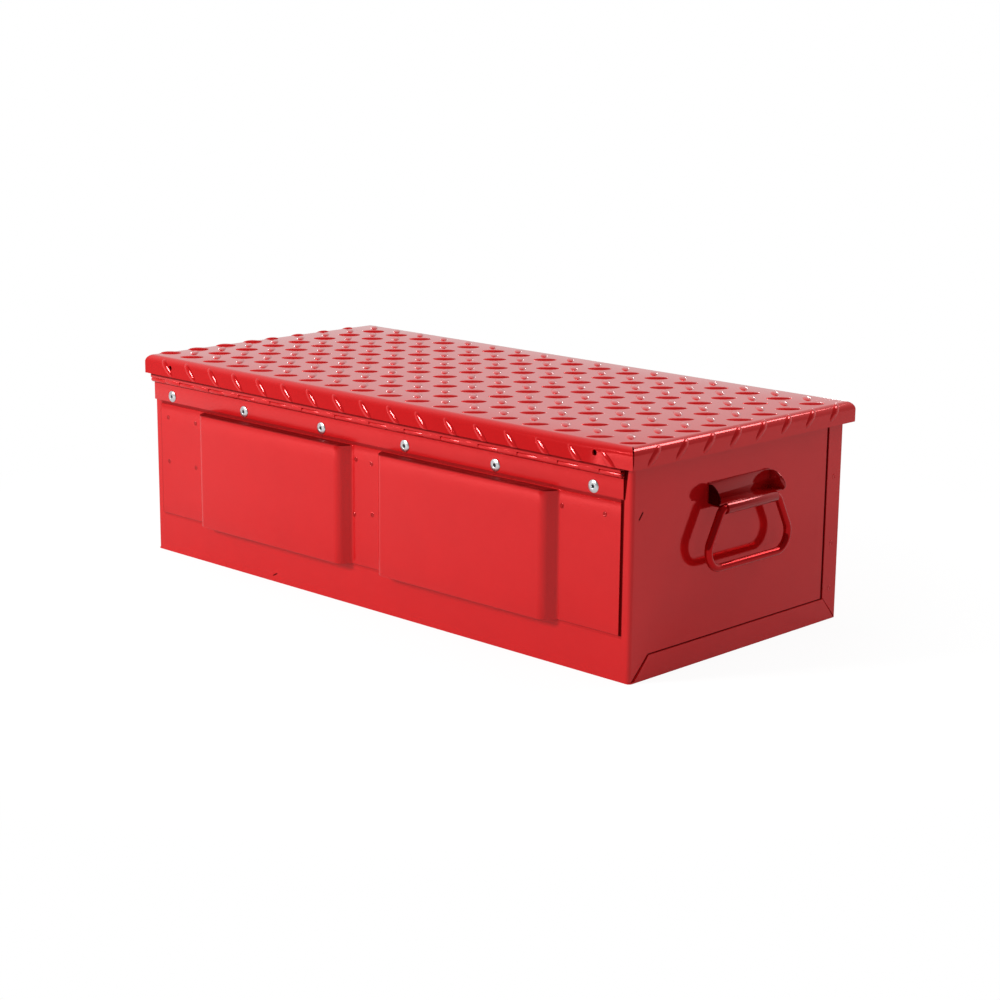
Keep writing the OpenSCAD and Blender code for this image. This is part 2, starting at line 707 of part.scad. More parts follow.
curl_r = rod_d / 2 + RUN + bracket_t;
bracket_z = bail_z + curl_r;             // top face of the bracket's shelf

// Pressed bracket: a plate on the wall, a shelf between two gussets, and a curl under it.
// The gussets lean outwards and reach a little past the shelf.
module handle_bracket() {
  h = bracket_h;
  root = (bracket_w - bracket_t) / 2;    // where a gusset's middle plane meets the wall
  lean = gusset_lean / gusset_out;
  shelf_out = rod_out + 2;
  shelf_half = root + lean * shelf_out;
  color(PAINT) translate([wall_x, handle_y, 0]) difference() {
    union() {
      translate([0, -root, bracket_z - bracket_t])
        cube([bracket_t, 2 * root, h + bracket_t]);
      translate([0, 0, bracket_z - bracket_t]) linear_extrude(bracket_t)
        polygon([[0, -root], [shelf_out, -shelf_half], [shelf_out, shelf_half], [0, root]]);
      for (m = [0, 1]) mirror([0, m, 0]) translate([0, root, bracket_z])
        rotate([90, 0, atan(lean)]) linear_extrude(bracket_t, center = true)
          polygon([[bracket_t / 2, -bracket_t], [shelf_out, -bracket_t], [gusset_out, 3],
                   [gusset_out - 1, h / 3], [gusset_out * 0.7, h * 0.7],
                   [4 * bracket_t, h - 1], [bracket_t / 2, h - 1]]);
      translate([rod_out, -curl_len / 2, bail_z]) rotate([-90, 0, 0])
        cylinder(r = curl_r, h = curl_len);
      translate([0, -curl_len / 2, bail_z - bracket_t / 2])
        cube([rod_out, curl_len, bracket_t]);
    }
    translate([rod_out, -bracket_w, bail_z]) rotate([-90, 0, 0])
      cylinder(d = rod_d + 2 * RUN, h = 2 * bracket_w);
  }
}
module handle_bracket_left() side(-1) handle_bracket();
module handle_bracket_right() side(1) handle_bracket();

// Half of the bail in its own plane: u along the wall, v down from the pivot.
// The arm leaves the top bar, slants outwards and runs tangent into the lower corner.
bail_c = [bail_w / 2 - bail_r, bail_drop - bail_r];
bail_to_c = bail_c - [bail_top / 2, 0];
bail_c_len = norm(bail_to_c);
arm_len = sqrt(bail_c_len * bail_c_len - bail_r * bail_r);
arm_a = atan2(bail_to_c[0], bail_to_c[1]) + asin(bail_r / bail_c_len);  // from straight down
top_cut = bail_top_r * tan((90 - arm_a) / 2);    // bend's tangent length at the top corner

module rod_along(u, v, a, l) {
  translate([0, u, -v]) rotate([180 + a, 0, 0]) cylinder(d = rod_d, h = l);
}
module rod_bend(u, v, r, a0, a1) {
  translate([0, u, -v]) rotate([0, 90, 0]) rotate([0, 0, a0])
    rotate_extrude(angle = a1 - a0) translate([r, 0]) circle(d = rod_d);
}
// The lengths of rod and the bends meet in balls a hair wider than the rod.
module rod_joint(u, v) {
  ball_d = rod_d + 0.02;
  translate([0, u, -v]) sphere(d = ball_d);
}
module handle_bail() {
  top_half = bail_top / 2 - top_cut;
  arm_u = bail_top / 2 + top_cut * sin(arm_a);
  arm_v = top_cut * cos(arm_a);
  color(PAINT) translate([wall_x + rod_out, handle_y, bail_z]) {
    translate([0, -top_half, 0]) rotate([-90, 0, 0]) cylinder(d = rod_d, h = 2 * top_half);
    translate([0, -bail_c[0], -bail_drop]) rotate([-90, 0, 0])
      cylinder(d = rod_d, h = 2 * bail_c[0]);
    for (a = [0, 180]) rotate([0, 0, a]) {
      rod_bend(top_half, bail_top_r, bail_top_r, 180, 90 + arm_a);
      rod_along(arm_u, arm_v, arm_a, arm_len - top_cut);
      rod_bend(bail_c[0], bail_c[1], bail_r, 0, 90 + arm_a);
      rod_joint(top_half, 0);
      rod_joint(arm_u, arm_v);
      rod_joint(bail_top / 2 + arm_len * sin(arm_a), arm_len * cos(arm_a));
      rod_joint(bail_c[0], bail_drop);
    }
  }
}
module handle_bail_left() side(-1) handle_bail();
module handle_bail_right() side(1) handle_bail();

// ---------------------------------------------------------------- drawers

slide_lip = 4;                           // the outer rail's turned-in edges
rail_out = slide_gap - 4;                // depth of the outer rail, from the partition
foot_out = rail_out - slide_t - 3.2;     // where the runner's feet begin
leg = slide_h / 2 - slide_t - slide_lip - 1.6;

// Section of the outer rail, from the partition (u = 0) towards the tray.
module rail_section() {
  h = slide_h / 2;
  difference() {
    translate([0, -h]) square([rail_out, slide_h]);
    translate([slide_t, -h + slide_t]) square([rail_out - 2 * slide_t, slide_h - 2 * slide_t]);
    translate([slide_t, -h + slide_t + slide_lip])
      square([rail_out, slide_h - 2 * (slide_t + slide_lip)]);
  }
}
// Section of the runner on the tray: a web, two legs and two feet inside the rail.
module runner_section() {
  foot = slide_h / 2 - slide_t - SLIP;
  translate([slide_gap - slide_t, -leg]) square([slide_t, 2 * leg]);
  for (s = [0, 1]) mirror([0, s]) {
    translate([foot_out, leg - slide_t]) square([slide_gap - foot_out, slide_t]);
    translate([foot_out, leg - slide_t]) square([slide_t, foot - leg + slide_t]);
  }
}
// A section set on both sides of a bay, along the whole slide.
module both_slides(s, i) {
  z = tray_z0 + i * tier + tray_h / 2;
  translate([s * bank_x, 0, z]) for (m = [0, 1]) mirror([m, 0, 0])
    translate([-bay_w / 2, slide_y1, 0]) rotate([90, 0, 0]) linear_extrude(slide_len)
      children();
}
module slide_rails(s, i) color(ZINC) both_slides(s, i) rail_section();
module drawer_runners(s, i) color(ZINC) both_slides(s, i) runner_section();

module drawer_tray(s, i) {
  l = tray_y1 - tray_y0;
  color(PAINT) translate([s * bank_x - tray_w / 2, tray_y0, tray_z0 + i * tier])
    difference() {
      cube([tray_w, l, tray_h]);
      translate([tray_t, tray_t, tray_t])
        cube([tray_w - 2 * tray_t, l - 2 * tray_t, tray_h]);
    }
}

// Folded front: a boxed pan whose top edge is set back and rolled over as a finger grip.
module drawer_front(s, i) {
  h = front_h;
  d = front_t;
  t = sheet;
  set_back = 2 * t;
  skin = [[0, 0], [d, 0], [d, h - roll_h], [set_back + t, h - roll_h + d / 2],
          [set_back + t, h - t], [d - t, h - t], [d - t, h - 5], [d, h - 5], [d, h],
          [set_back, h], [set_back, h - roll_h + d / 2 - t], [d - t, h - roll_h - t],
          [d - t, t], [0, t]];
  color(PAINT) translate([s * bank_x, tray_y1, tray_z0 - front_drop + i * tier]) {
    translate([-bay_w / 2, 0, 0]) rotate([90, 0, 90]) linear_extrude(bay_w) polygon(skin);
    for (x = [-bay_w / 2, bay_w / 2 - t]) translate([x, 0, 0])
      rotate([90, 0, 90]) linear_extrude(t)
        polygon([[0, 0], [d, 0], [d, h], [0, h]]);
    translate([-bay_w / 2, 0, h - t]) cube([bay_w, set_back + t, t]);
  }
}

body_wrap();
floor_pan();
front_wall();
rear_panel();
center_post();
left_partition();
right_partition();
shelf();
slide_rails(-1, 0);  // slide_rails_lower_left
slide_rails(1, 0);  // slide_rails_lower_right
slide_rails(-1, 1);  // slide_rails_upper_left
slide_rails(1, 1);  // slide_rails_upper_right
hinge_leaf_body();
hinge_pin();
hinge_rivets();
lock_barrel();
lock_nut();
stay_studs_body();
handle_bracket_left();
handle_bracket_right();
lid_plate();
hinge_leaf_lid();
lid_stiffeners();
lock_strike();
stay_brackets_lid();
stay_arm_lower_left();
stay_arm_lower_right();
stay_arm_upper_left();
stay_arm_upper_right();
stay_rivet_left();
stay_rivet_right();
handle_bail_left();
handle_bail_right();
lock_plug();
lock_cam();
drawer_tray(-1, 0);  // drawer_tray_lower_left
drawer_tray(1, 0);  // drawer_tray_lower_right
drawer_tray(-1, 1);  // drawer_tray_upper_left
drawer_tray(1, 1);  // drawer_tray_upper_right
drawer_front(-1, 0);  // drawer_front_lower_left
drawer_front(1, 0);  // drawer_front_lower_right
drawer_front(-1, 1);  // drawer_front_upper_left
drawer_front(1, 1);  // drawer_front_upper_right
drawer_runners(-1, 0);  // drawer_runners_lower_left
drawer_runners(1, 0);  // drawer_runners_lower_right
drawer_runners(-1, 1);  // drawer_runners_upper_left
drawer_runners(1, 1);  // drawer_runners_upper_right
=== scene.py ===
import math

import bmesh
import bpy
import numpy as np
from mathutils import Matrix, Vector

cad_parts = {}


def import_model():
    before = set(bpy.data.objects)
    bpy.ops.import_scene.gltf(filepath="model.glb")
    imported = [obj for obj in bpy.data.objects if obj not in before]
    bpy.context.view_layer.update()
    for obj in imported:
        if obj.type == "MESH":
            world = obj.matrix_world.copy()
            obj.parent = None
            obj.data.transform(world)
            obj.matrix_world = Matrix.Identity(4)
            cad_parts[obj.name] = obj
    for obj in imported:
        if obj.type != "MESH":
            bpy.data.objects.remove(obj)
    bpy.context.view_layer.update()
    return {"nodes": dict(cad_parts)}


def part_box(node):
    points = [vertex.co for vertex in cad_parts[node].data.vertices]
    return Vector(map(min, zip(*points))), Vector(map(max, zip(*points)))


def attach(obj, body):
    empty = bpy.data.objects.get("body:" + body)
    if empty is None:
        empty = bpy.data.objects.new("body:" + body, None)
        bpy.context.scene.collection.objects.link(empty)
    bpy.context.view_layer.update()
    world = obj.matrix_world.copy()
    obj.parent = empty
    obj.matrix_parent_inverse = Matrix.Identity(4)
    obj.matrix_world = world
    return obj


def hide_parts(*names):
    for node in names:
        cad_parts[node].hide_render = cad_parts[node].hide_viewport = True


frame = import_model()
mm = 0.001
nodes = frame["nodes"]


# ------------------------------------------------------------------ camera
# One camera with a long lens stands off the right rear corner of the chest,
# a little above its lid, and looks slightly down on it.

lens_mm, sensor_mm = 76.50, 36.0
camera_at = np.array([1.5588, -1.58475, 0.6060])
azimuth, elevation, roll = np.radians([43.93, 13.08, 0.54])
forward = np.array([-math.sin(azimuth) * math.cos(elevation),
                    math.cos(azimuth) * math.cos(elevation), -math.sin(elevation)])
sideways = np.array([math.cos(azimuth), math.sin(azimuth), 0.0])
upright = np.cross(sideways, forward)
right = math.cos(roll) * sideways + math.sin(roll) * upright
up = math.cos(roll) * upright - math.sin(roll) * sideways


def stand(name, data, at, side, upwards, back):
    """Sets up a camera or a lamp at a point, with its own axes along three directions."""
    thing = bpy.data.objects.new(name, data)
    bpy.context.scene.collection.objects.link(thing)
    thing.matrix_world = Matrix.Translation(at) @ Matrix(
        np.column_stack([side, upwards, back]).tolist()).to_4x4()
    return thing


camera_data = bpy.data.cameras.new("camera")
camera_data.sensor_width = sensor_mm
camera_data.lens = lens_mm
camera_data.clip_end = 50
bpy.context.scene.camera = stand("camera", camera_data, camera_at, right, up, -forward)
bpy.context.scene.view_settings.view_transform = "Standard"


# ------------------------------------------------------------------ studio
# A white sweep: a pale floor that takes the soft shadow of the chest, and a white
# surround. The key light is on the hinge side, a weaker one is above the lid, and two
# low lamps far behind give the lid its sheen.

def empty_tree(holder):
    """Empties the node tree of a material or a world. Returns it with its functions that
    make and link nodes."""
    holder.use_nodes = True
    tree = holder.node_tree
    tree.nodes.clear()
    return tree, tree.nodes.new, tree.links.new


def calculated(tree, kind, *values, clamp=False):
    """The result of a Math node, whose values are numbers or outputs of other nodes."""
    node = tree.nodes.new("ShaderNodeMath")
    node.operation, node.use_clamp = kind, clamp
    for socket, value in zip(node.inputs, values):
        if isinstance(value, (int, float)):
            socket.default_value = value
        else:
            tree.links.new(value, socket)
    return node.outputs[0]


def ranged(tree, value, to_low, to_high, low=0.0, high=1.0, kind="LINEAR"):
    """A value that goes from to_low at low to to_high at high, straight or eased."""
    node = tree.nodes.new("ShaderNodeMapRange")
    node.interpolation_type = kind
    for name, number in (("From Min", low), ("From Max", high), ("To Min", to_low),
                         ("To Max", to_high)):
        node.inputs[name].default_value = number
    tree.links.new(value, node.inputs["Value"])
    return node.outputs["Result"]


def mixed_shaders(tree, share, first, second):
    """A shader that goes from the first to the second as the share goes from 0 to 1."""
    mix = tree.nodes.new("ShaderNodeMixShader")
    for value, socket in zip((share, first.outputs[0], second.outputs[0]), mix.inputs):
        tree.links.new(value, socket)
    return mix.outputs[0]


def white_floor():
    """Pale diffuse floor with a glow for camera rays, and less for glossy rays. The glow
    is full away from the chest and leaves some plain floor, with its shadow, round it."""
    near, far, mirrored = 0.38, 0.8, 0.25
    material = bpy.data.materials.new("studio_floor")
    tree, make, link = empty_tree(material)
    plain, glow = make("ShaderNodeBsdfDiffuse"), make("ShaderNodeEmission")
    plain.inputs["Color"].default_value = (0.62, 0.62, 0.62, 1)
    place, away = make("ShaderNodeTexCoord"), make("ShaderNodeVectorMath")
    away.operation = "LENGTH"
    link(place.outputs["Object"], away.inputs[0])
    strength, share = (ranged(tree, away.outputs["Value"], at_chest, 1.0, near, far,
                              "SMOOTHSTEP") for at_chest in (1.14, 0.8))
    link(strength, glow.inputs["Strength"])
    path = make("ShaderNodeLightPath").outputs
    seen = calculated(tree, "MULTIPLY_ADD", path["Is Glossy Ray"], mirrored,
                      path["Is Camera Ray"])
    link(mixed_shaders(tree, calculated(tree, "MULTIPLY", share, seen), plain, glow),
         make("ShaderNodeOutputMaterial").inputs["Surface"])
    return material


half_floor = 7.0
floor_mesh = bpy.data.meshes.new("floor")
floor_mesh.from_pydata([(x * half_floor, y * half_floor, 0)
                        for x, y in ((-1, -1), (1, -1), (1, 1), (-1, 1))], [], [(0, 1, 2, 3)])
floor_mesh.materials.append(white_floor())
floor = bpy.data.objects.new("floor", floor_mesh)
bpy.context.scene.collection.objects.link(floor)


def surround():
    """World that is white to the camera. Glossy rays see it white behind the chest and
    dark towards the viewer's side and overhead; the rest get more light from above."""
    dim, bright = 0.16, 0.8
    world = bpy.data.worlds.new("surround")
    tree, make, link = empty_tree(world)
    even, seen = make("ShaderNodeBackground"), make("ShaderNodeBackground")
    seen.inputs["Color"].default_value = (1, 1, 1, 1)
    place, height = make("ShaderNodeTexCoord"), make("ShaderNodeSeparateXYZ")
    link(place.outputs["Generated"], height.inputs[0])
    link(ranged(tree, height.outputs["Z"], dim, bright), even.inputs["Strength"])
    behind = make("ShaderNodeVectorMath")
    behind.operation = "DOT_PRODUCT"
    behind.inputs[1].default_value = (-0.69, 0.72, -0.15)
    link(place.outputs["Generated"], behind.inputs[0])
    mirrored = ranged(tree, behind.outputs["Value"], dim, bright, -0.1, 0.45, "SMOOTHSTEP")
    path = make("ShaderNodeLightPath").outputs
    link(calculated(tree, "MAXIMUM", mirrored, path["Is Camera Ray"]), seen.inputs["Strength"])
    directly = calculated(tree, "MAXIMUM", path["Is Camera Ray"], path["Is Glossy Ray"])
    directly = calculated(tree, "MAXIMUM", directly, path["Is Transmission Ray"])
    link(mixed_shaders(tree, directly, even, seen),
         make("ShaderNodeOutputWorld").inputs["Surface"])
    return world


def soft_light(name, at, aim, size, watts):
    """A square area light at a point, facing another point."""
    data = bpy.data.lights.new(name, "AREA")
    data.shape, data.size, data.energy = "SQUARE", size, watts
    back = np.subtract(at, aim)
    back = back / np.linalg.norm(back)
    side = np.cross([0, 0, 1], back)
    side = side / np.linalg.norm(side)
    stand(name, data, at, side, np.cross(back, side), back)


bpy.context.scene.world = surround()
soft_light("key", at=(-1.3, -2.7, 1.45), aim=(0, 0, 0.1), size=0.7, watts=84)
soft_light("overhead", at=(0.95, 2.1, 2.28), aim=(0.3, 0, 0.2), size=0.9, watts=20)
soft_light("back_right", at=(-1.85, 3.56, 0.42), aim=(0.2, 0, 0.2), size=0.25, watts=2.5)
soft_light("back_left", at=(-3.62, 1.69, 0.42), aim=(-0.2, 0, 0.2), size=0.25, watts=3)


# ------------------------------------------------------------- folded body
# Rear wall and ends are one folded steel sheet, the floor pan and the front wall are
# welded to it, and everything is sprayed with red powder and baked to a gloss.

red = (0.70, 0.009, 0.011, 1)
tinted = 0.3    # share of the reflection that the pigment colours
wall_low, wall_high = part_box("body_wrap")
end_x = wall_high.x


def new_group(name, inputs, outputs):
    """A shader node group with sockets of (name, kind, value) and (name, kind)."""
    group = bpy.data.node_groups.new(name, "ShaderNodeTree")
    for label, kind, value in inputs:
        socket = group.interface.new_socket(label, in_out="INPUT", socket_type=kind)
        socket.default_value = value
    for label, kind in outputs:
        group.interface.new_socket(label, in_out="OUTPUT", socket_type=kind)
    return group, group.nodes.new("NodeGroupInput"), group.nodes.new("NodeGroupOutput")


def noise(tree, scale, detail=2.0):
    """Noise fixed to the piece, with about so many grains to the metre."""
    place, grains = (tree.nodes.new("ShaderNode" + kind) for kind in ("TexCoord", "TexNoise"))
    grains.inputs["Scale"].default_value = scale
    grains.inputs["Detail"].default_value = detail
    tree.links.new(place.outputs["Object"], grains.inputs["Vector"])
    return grains.outputs["Fac"]


def paint_film_group():
    """Baked powder: a fine peel, slow waves of the sheet under it and faint shade changes."""
    group, given, result = new_group(
        "paint_film",
        [("Colour", "NodeSocketColor", red), ("Peel", "NodeSocketFloat", 0.05),
         ("Waves", "NodeSocketFloat", 0.1), ("Roughness", "NodeSocketFloat", 0.08)],
        [("Colour", "NodeSocketColor"), ("Roughness", "NodeSocketFloat"),
         ("Normal", "NodeSocketVector")])
    make, link = group.nodes.new, group.links.new
    waves, peel, tint = (make("ShaderNode" + kind) for kind in ("Bump", "Bump", "VectorMath"))
    for bump, label, scale, detail, depth in ((waves, "Waves", 9.0, 1.0, 4 * mm),
                                              (peel, "Peel", 700.0, 2.0, 0.4 * mm)):
        bump.inputs["Distance"].default_value = depth
        link(given.outputs[label], bump.inputs["Strength"])
        link(noise(group, scale, detail), bump.inputs["Height"])
    link(waves.outputs["Normal"], peel.inputs["Normal"])
    blotches = noise(group, 26.0, 3.0)
    tint.operation = "SCALE"
    link(given.outputs["Colour"], tint.inputs[0])
    link(ranged(group, blotches, 0.95, 1.05), tint.inputs["Scale"])
    dull = calculated(group, "MULTIPLY_ADD", blotches, 0.05, given.outputs["Roughness"])
    link(tint.outputs["Vector"], result.inputs["Colour"])
    link(dull, result.inputs["Roughness"])
    link(peel.outputs["Normal"], result.inputs["Normal"])
    return group


paint_film = paint_film_group()


def powder_coat(name, colour=red, peel=0.05, waves=0.1, roughness=0.06, sheen=tinted, ior=1.5,
                marks_and_painted_shade=None, lean=None):
    """Glossy powder coat: the paint film over a Principled shader. Part of its reflection,
    the sheen, is tinted by the pigment. The group of seams and shade darkens a piece's
    seams and scratches and paints shade on it, and the group lean tilts its normals."""
    material = bpy.data.materials.new(name)
    tree, make, link = empty_tree(material)
    film, shader = make("ShaderNodeGroup"), make("ShaderNodeBsdfPrincipled")
    film.node_tree = paint_film
    for label, value in (("Colour", colour), ("Peel", peel), ("Waves", waves),
                         ("Roughness", roughness)):
        film.inputs[label].default_value = value
    shader.inputs["IOR"].default_value = ior
    shader.inputs["Metallic"].default_value = sheen
    colour_out, roughness_out, normal_out = film.outputs[:3]
    if marks_and_painted_shade is not None:
        marked_and_shaded, deepen = make("ShaderNodeGroup"), make("ShaderNodeVectorMath")
        marked_and_shaded.node_tree, deepen.operation = marks_and_painted_shade, "SCALE"
        link(colour_out, deepen.inputs[0])
        link(marked_and_shaded.outputs["Light"], deepen.inputs["Scale"])
        colour_out = deepen.outputs["Vector"]
        roughness_out = calculated(tree, "MAXIMUM", roughness_out, marked_and_shaded.outputs["Dull"])
        link(marked_and_shaded.outputs["Sheen"], shader.inputs["Metallic"])
    if lean is not None:
        tilt = make("ShaderNodeGroup")
        tilt.node_tree = lean
        link(normal_out, tilt.inputs["Normal"])
        normal_out = tilt.outputs["Normal"]
    link(colour_out, shader.inputs["Base Color"])
    link(roughness_out, shader.inputs["Roughness"])
    link(normal_out, shader.inputs["Normal"])
    link(shader.outputs[0], make("ShaderNodeOutputMaterial").inputs["Surface"])
    return material


def dress(names, material):
    """Puts a material on CAD nodes whose shape stays."""
    for name in names:
        mesh = nodes[name].data
        mesh.materials.clear()
        mesh.materials.append(material)


def mark_and_shade_group(name, marks_and_painted_shade):
    """Dark seams, scratches and painted shade, each given as its kind and its numbers in mm.
    The kinds are the functions below. Darkness is 1 in a mark and 0 away from all of them.
    It takes up to 0.8 off Light, lifts Dull to 0.8 and lifts Sheen from the coat's own
    share to 1."""
    group, _, result = new_group(name, [], [(label, "NodeSocketFloat")
                                            for label in ("Light", "Dull", "Sheen")])
    place, axes = (group.nodes.new("ShaderNode" + kind) for kind in ("TexCoord",
                                                                     "SeparateXYZ"))
    group.links.new(place.outputs["Object"], axes.inputs[0])
    x, y, z = axes.outputs[:3]

    def math_node(kind, *values, clamp=False):
        return calculated(group, kind, *values, clamp=clamp)

    def product(first, *others):
        """All values multiplied together."""
        for other in others:
            first = math_node("MULTIPLY", first, other)
        return first

    def beyond(value, middle, half):
        """How far a value lies outside middle - half to middle + half."""
        apart = math_node("ABSOLUTE", math_node("SUBTRACT", value, middle))
        return math_node("SUBTRACT", apart, half)

    def within(value, low, high, soft):
        """1 between low and high, falling to 0 over a soft margin outside."""
        past = beyond(value, (low + high) / 2, (high - low) / 2)
        return math_node("SUBTRACT", 1.0, math_node("DIVIDE", past, soft), clamp=True)

    def on_rear():
        """1 on the outer face of the rear wall."""
        return within(y, wall_low.y - 14.3 * mm, wall_low.y + 0.7 * mm, 0.3 * mm)

    def on_end(outwards):
        """1 on the outer face of the end wall that lies outwards."""
        return within(outwards, end_x - 0.7 * mm, end_x + 3.5 * mm, 0.3 * mm)

    def outline(middle_x, middle_z, half_x, half_z, width):
        """Band of painted shade outside a rectangle on the rear wall, strongest on its right,
        weaker on top and faint on its left and bottom."""
        past = math_node("MAXIMUM", beyond(x, middle_x, half_x), beyond(z, middle_z, half_z))
        above = within(z, middle_z - half_z, middle_z + 2 * half_z, mm)
        from_left, from_right = (math_node("GREATER_THAN", x, edge) for edge in
                                 (middle_x - half_x, middle_x + half_x - mm))
        strength = math_node("MULTIPLY_ADD", from_right, 0.35,
                             math_node("MULTIPLY_ADD", from_left, 0.45, 0.2))
        return product(within(past, 0.0, width, width * 0.3),
                       math_node("MULTIPLY_ADD", above, 0.8, 0.2), strength, on_rear())

    def level(z0, z1, soft, y_to):
        """Level band of painted shade on what stands out to the rear past a place."""
        return product(within(z, z0, z1, soft), within(y, -180 * mm, y_to, 0.3 * mm), 0.8)

    def before(y_to):
        """Painted shade on everything nearer the rear than a place."""
        return math_node("LESS_THAN", y, y_to)

    def shade_wedge(x0, z0, z1, width0, width1):
        """Wedge of painted shade on the rear wall, which widens with its height."""
        share = math_node("DIVIDE", math_node("SUBTRACT", z, z0), z1 - z0)
        width = math_node("MULTIPLY_ADD", share, width1 - width0, width0)
        across = math_node("DIVIDE", math_node("SUBTRACT", x, x0), width)
        return product(within(across, 0.0, 1.0, 0.1), within(z, z0, z1, 0.5 * mm), on_rear())

    def stroke(flat, mask, flat0, z0, flat1, z1, width):
        """Line from one point to another on a wall, where flat is its level axis."""
        long = math.hypot(flat1 - flat0, z1 - z0)
        run, climb = (flat1 - flat0) / long, (z1 - z0) / long
        from_flat = math_node("SUBTRACT", flat, (flat0 + flat1) / 2)
        from_z = math_node("SUBTRACT", z, (z0 + z1) / 2)
        along = math_node("ADD", product(from_flat, run), product(from_z, climb))
        aside = math_node("SUBTRACT", product(from_flat, climb), product(from_z, run))
        return product(within(along, -long / 2, long / 2, width),
                       within(aside, -width / 2, width / 2, width / 2), mask)

    def rear_stroke(*ends):
        """Stroke on the rear wall."""
        return stroke(x, on_rear(), *ends)

    def end_stroke(*ends):
        """Stroke on the right end wall."""
        return stroke(y, on_end(x), *ends)

    def end_seam(*ends):
        """Stroke on both end walls."""
        return stroke(y, on_end(math_node("ABSOLUTE", x)), *ends)

    kinds = {kind.__name__: kind for kind in (outline, level, before, shade_wedge, rear_stroke,
                                              end_stroke, end_seam)}
    dark = 0.0
    for kind, *numbers in marks_and_painted_shade:
        dark = math_node("MAXIMUM", dark, kinds[kind](*(number * mm for number in numbers)))
    for label, rise, start in (("Light", -0.8, 1.0), ("Dull", 0.8, 0.0),
                               ("Sheen", 1 - tinted, tinted)):
        group.links.new(math_node("MULTIPLY_ADD", dark, rise, start), result.inputs[label])
    return group


# Painted shade along the panel's edges and beside the hinge, two scratches, and open seams.
wall_marks_and_shade = mark_and_shade_group("wall_marks_and_shade", [
    ("outline", 0, 107.1, 340, 62.6, 2.6), ("shade_wedge", 342.5, 173, 201, 1.4, 4.6),
    ("end_stroke", -150.5, 154.3, -145.8, 160.2, 1.3),
    ("rear_stroke", -151, 6.5, -145, 9.5, 0.9), ("end_seam", -133, 23.7, 136.5, 23.7, 0.7),
    ("end_seam", -157, 0.5, -133.2, 24.0, 0.7), ("end_seam", 137.5, 24, 137.5, 206, 1.5)])
body_paint = powder_coat("body_paint")
dress(["body_wrap"], powder_coat("wall_paint", marks_and_painted_shade=wall_marks_and_shade))
dress(["floor_pan", "front_wall", "center_post", "left_partition", "right_partition",
       "shelf"], body_paint)


# ----------------------------------------------------------------- drawers
# Two banks of two folded trays, painted like the body, run out at the front on runners
# in rails of bright zinc-plated steel.

def zinc(name):
    """Bright zinc plate with faint blotches, which are also a little duller."""
    material = bpy.data.materials.new(name)
    tree, make, link = empty_tree(material)
    shader, ramp = make("ShaderNodeBsdfPrincipled"), make("ShaderNodeValToRGB")
    shader.inputs["Metallic"].default_value = 1.0
    blotches = noise(tree, 240.0)
    ramp.color_ramp.elements[0].color = (0.62, 0.63, 0.65, 1)
    ramp.color_ramp.elements[1].color = (0.80, 0.81, 0.82, 1)
    link(blotches, ramp.inputs["Fac"])
    link(ramp.outputs["Color"], shader.inputs["Base Color"])
    link(ranged(tree, blotches, 0.22, 0.36), shader.inputs["Roughness"])
    link(shader.outputs[0], make("ShaderNodeOutputMaterial").inputs["Surface"])
    return material


zinc_plate = zinc("zinc_plate")
for tier in ("lower", "upper"):
    for side in ("left", "right"):
        drawer = tier + "_" + side
        dress(["drawer_tray_" + drawer, "drawer_front_" + drawer], body_paint)
        dress(["slide_rails_" + drawer, "drawer_runners_" + drawer], zinc_plate)


# ---------------------------------------------------------- lock and stays
# A cam lock in the front rail catches a strike welded in the lid, and a folding stay of
# two riveted arms at each end carries the open lid. Only the strike is painted.

dress(["lock_strike"], body_paint)
dress(["lock_nut", "lock_barrel", "lock_plug", "lock_cam", "stay_studs_body",
       "stay_brackets_lid"], zinc_plate)
for side in ("left", "right"):
    dress([part + side for part in ("stay_arm_lower_", "stay_arm_upper_", "stay_rivet_")],
          zinc_plate)


# -------------------------------------------------------------------- lid
# Tread plate, 2 mm thick before its treads, folded down all round into a lip. The treads
# run on round the bends, the lips meet at open mitred corners, and two channels under the
# plate stiffen it.

dress(["lid_stiffeners"], body_paint)
lid_low, lid_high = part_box("lid_plate")
tread_height, plate, bend_r, seam = 1.6 * mm, 2.0 * mm, 8.0 * mm, 1.8 * mm
lid_mid_y = (lid_low.y + lid_high.y) / 2
plate_x = lid_high.x - tread_height              # outer faces of the plate itself
plate_y = (lid_high.y - lid_low.y) / 2 - tread_height
plate_top = lid_high.z - tread_height
flat_x, flat_y = plate_x - bend_r, plate_y - bend_r    # where the bends begin
bend_length = math.pi / 2 * bend_r
lip_length = plate_top - bend_r - lid_low.z


def fold_lid(x, y, height, past_x, past_y):
    """Folds the flat pattern. A point's height is measured out from the plate. Past the
    line where a bend begins, the distance to that line is first an arc round the bend's
    centre, then a straight way down the lip. past_x and past_y say which bend it takes."""
    out = np.stack([x, y, np.full_like(x, plate_top) + height], -1)
    for axis, start, past in ((0, flat_x, past_x), (1, flat_y, past_y)):
        side, over = np.sign(out[..., axis]), np.abs(out[..., axis]) - start
        bends = past & (over > 0)
        angle = np.clip(over, 0, bend_length) / bend_r
        reach = start + (bend_r + height) * np.sin(angle)
        drop = (bend_r + height) * np.cos(angle) - np.maximum(over - bend_length, 0)
        out[..., axis] = np.where(bends, side * reach, out[..., axis])
        out[..., 2] = np.where(bends, plate_top - bend_r + drop, out[..., 2])
    out[..., 1] += lid_mid_y
    return out


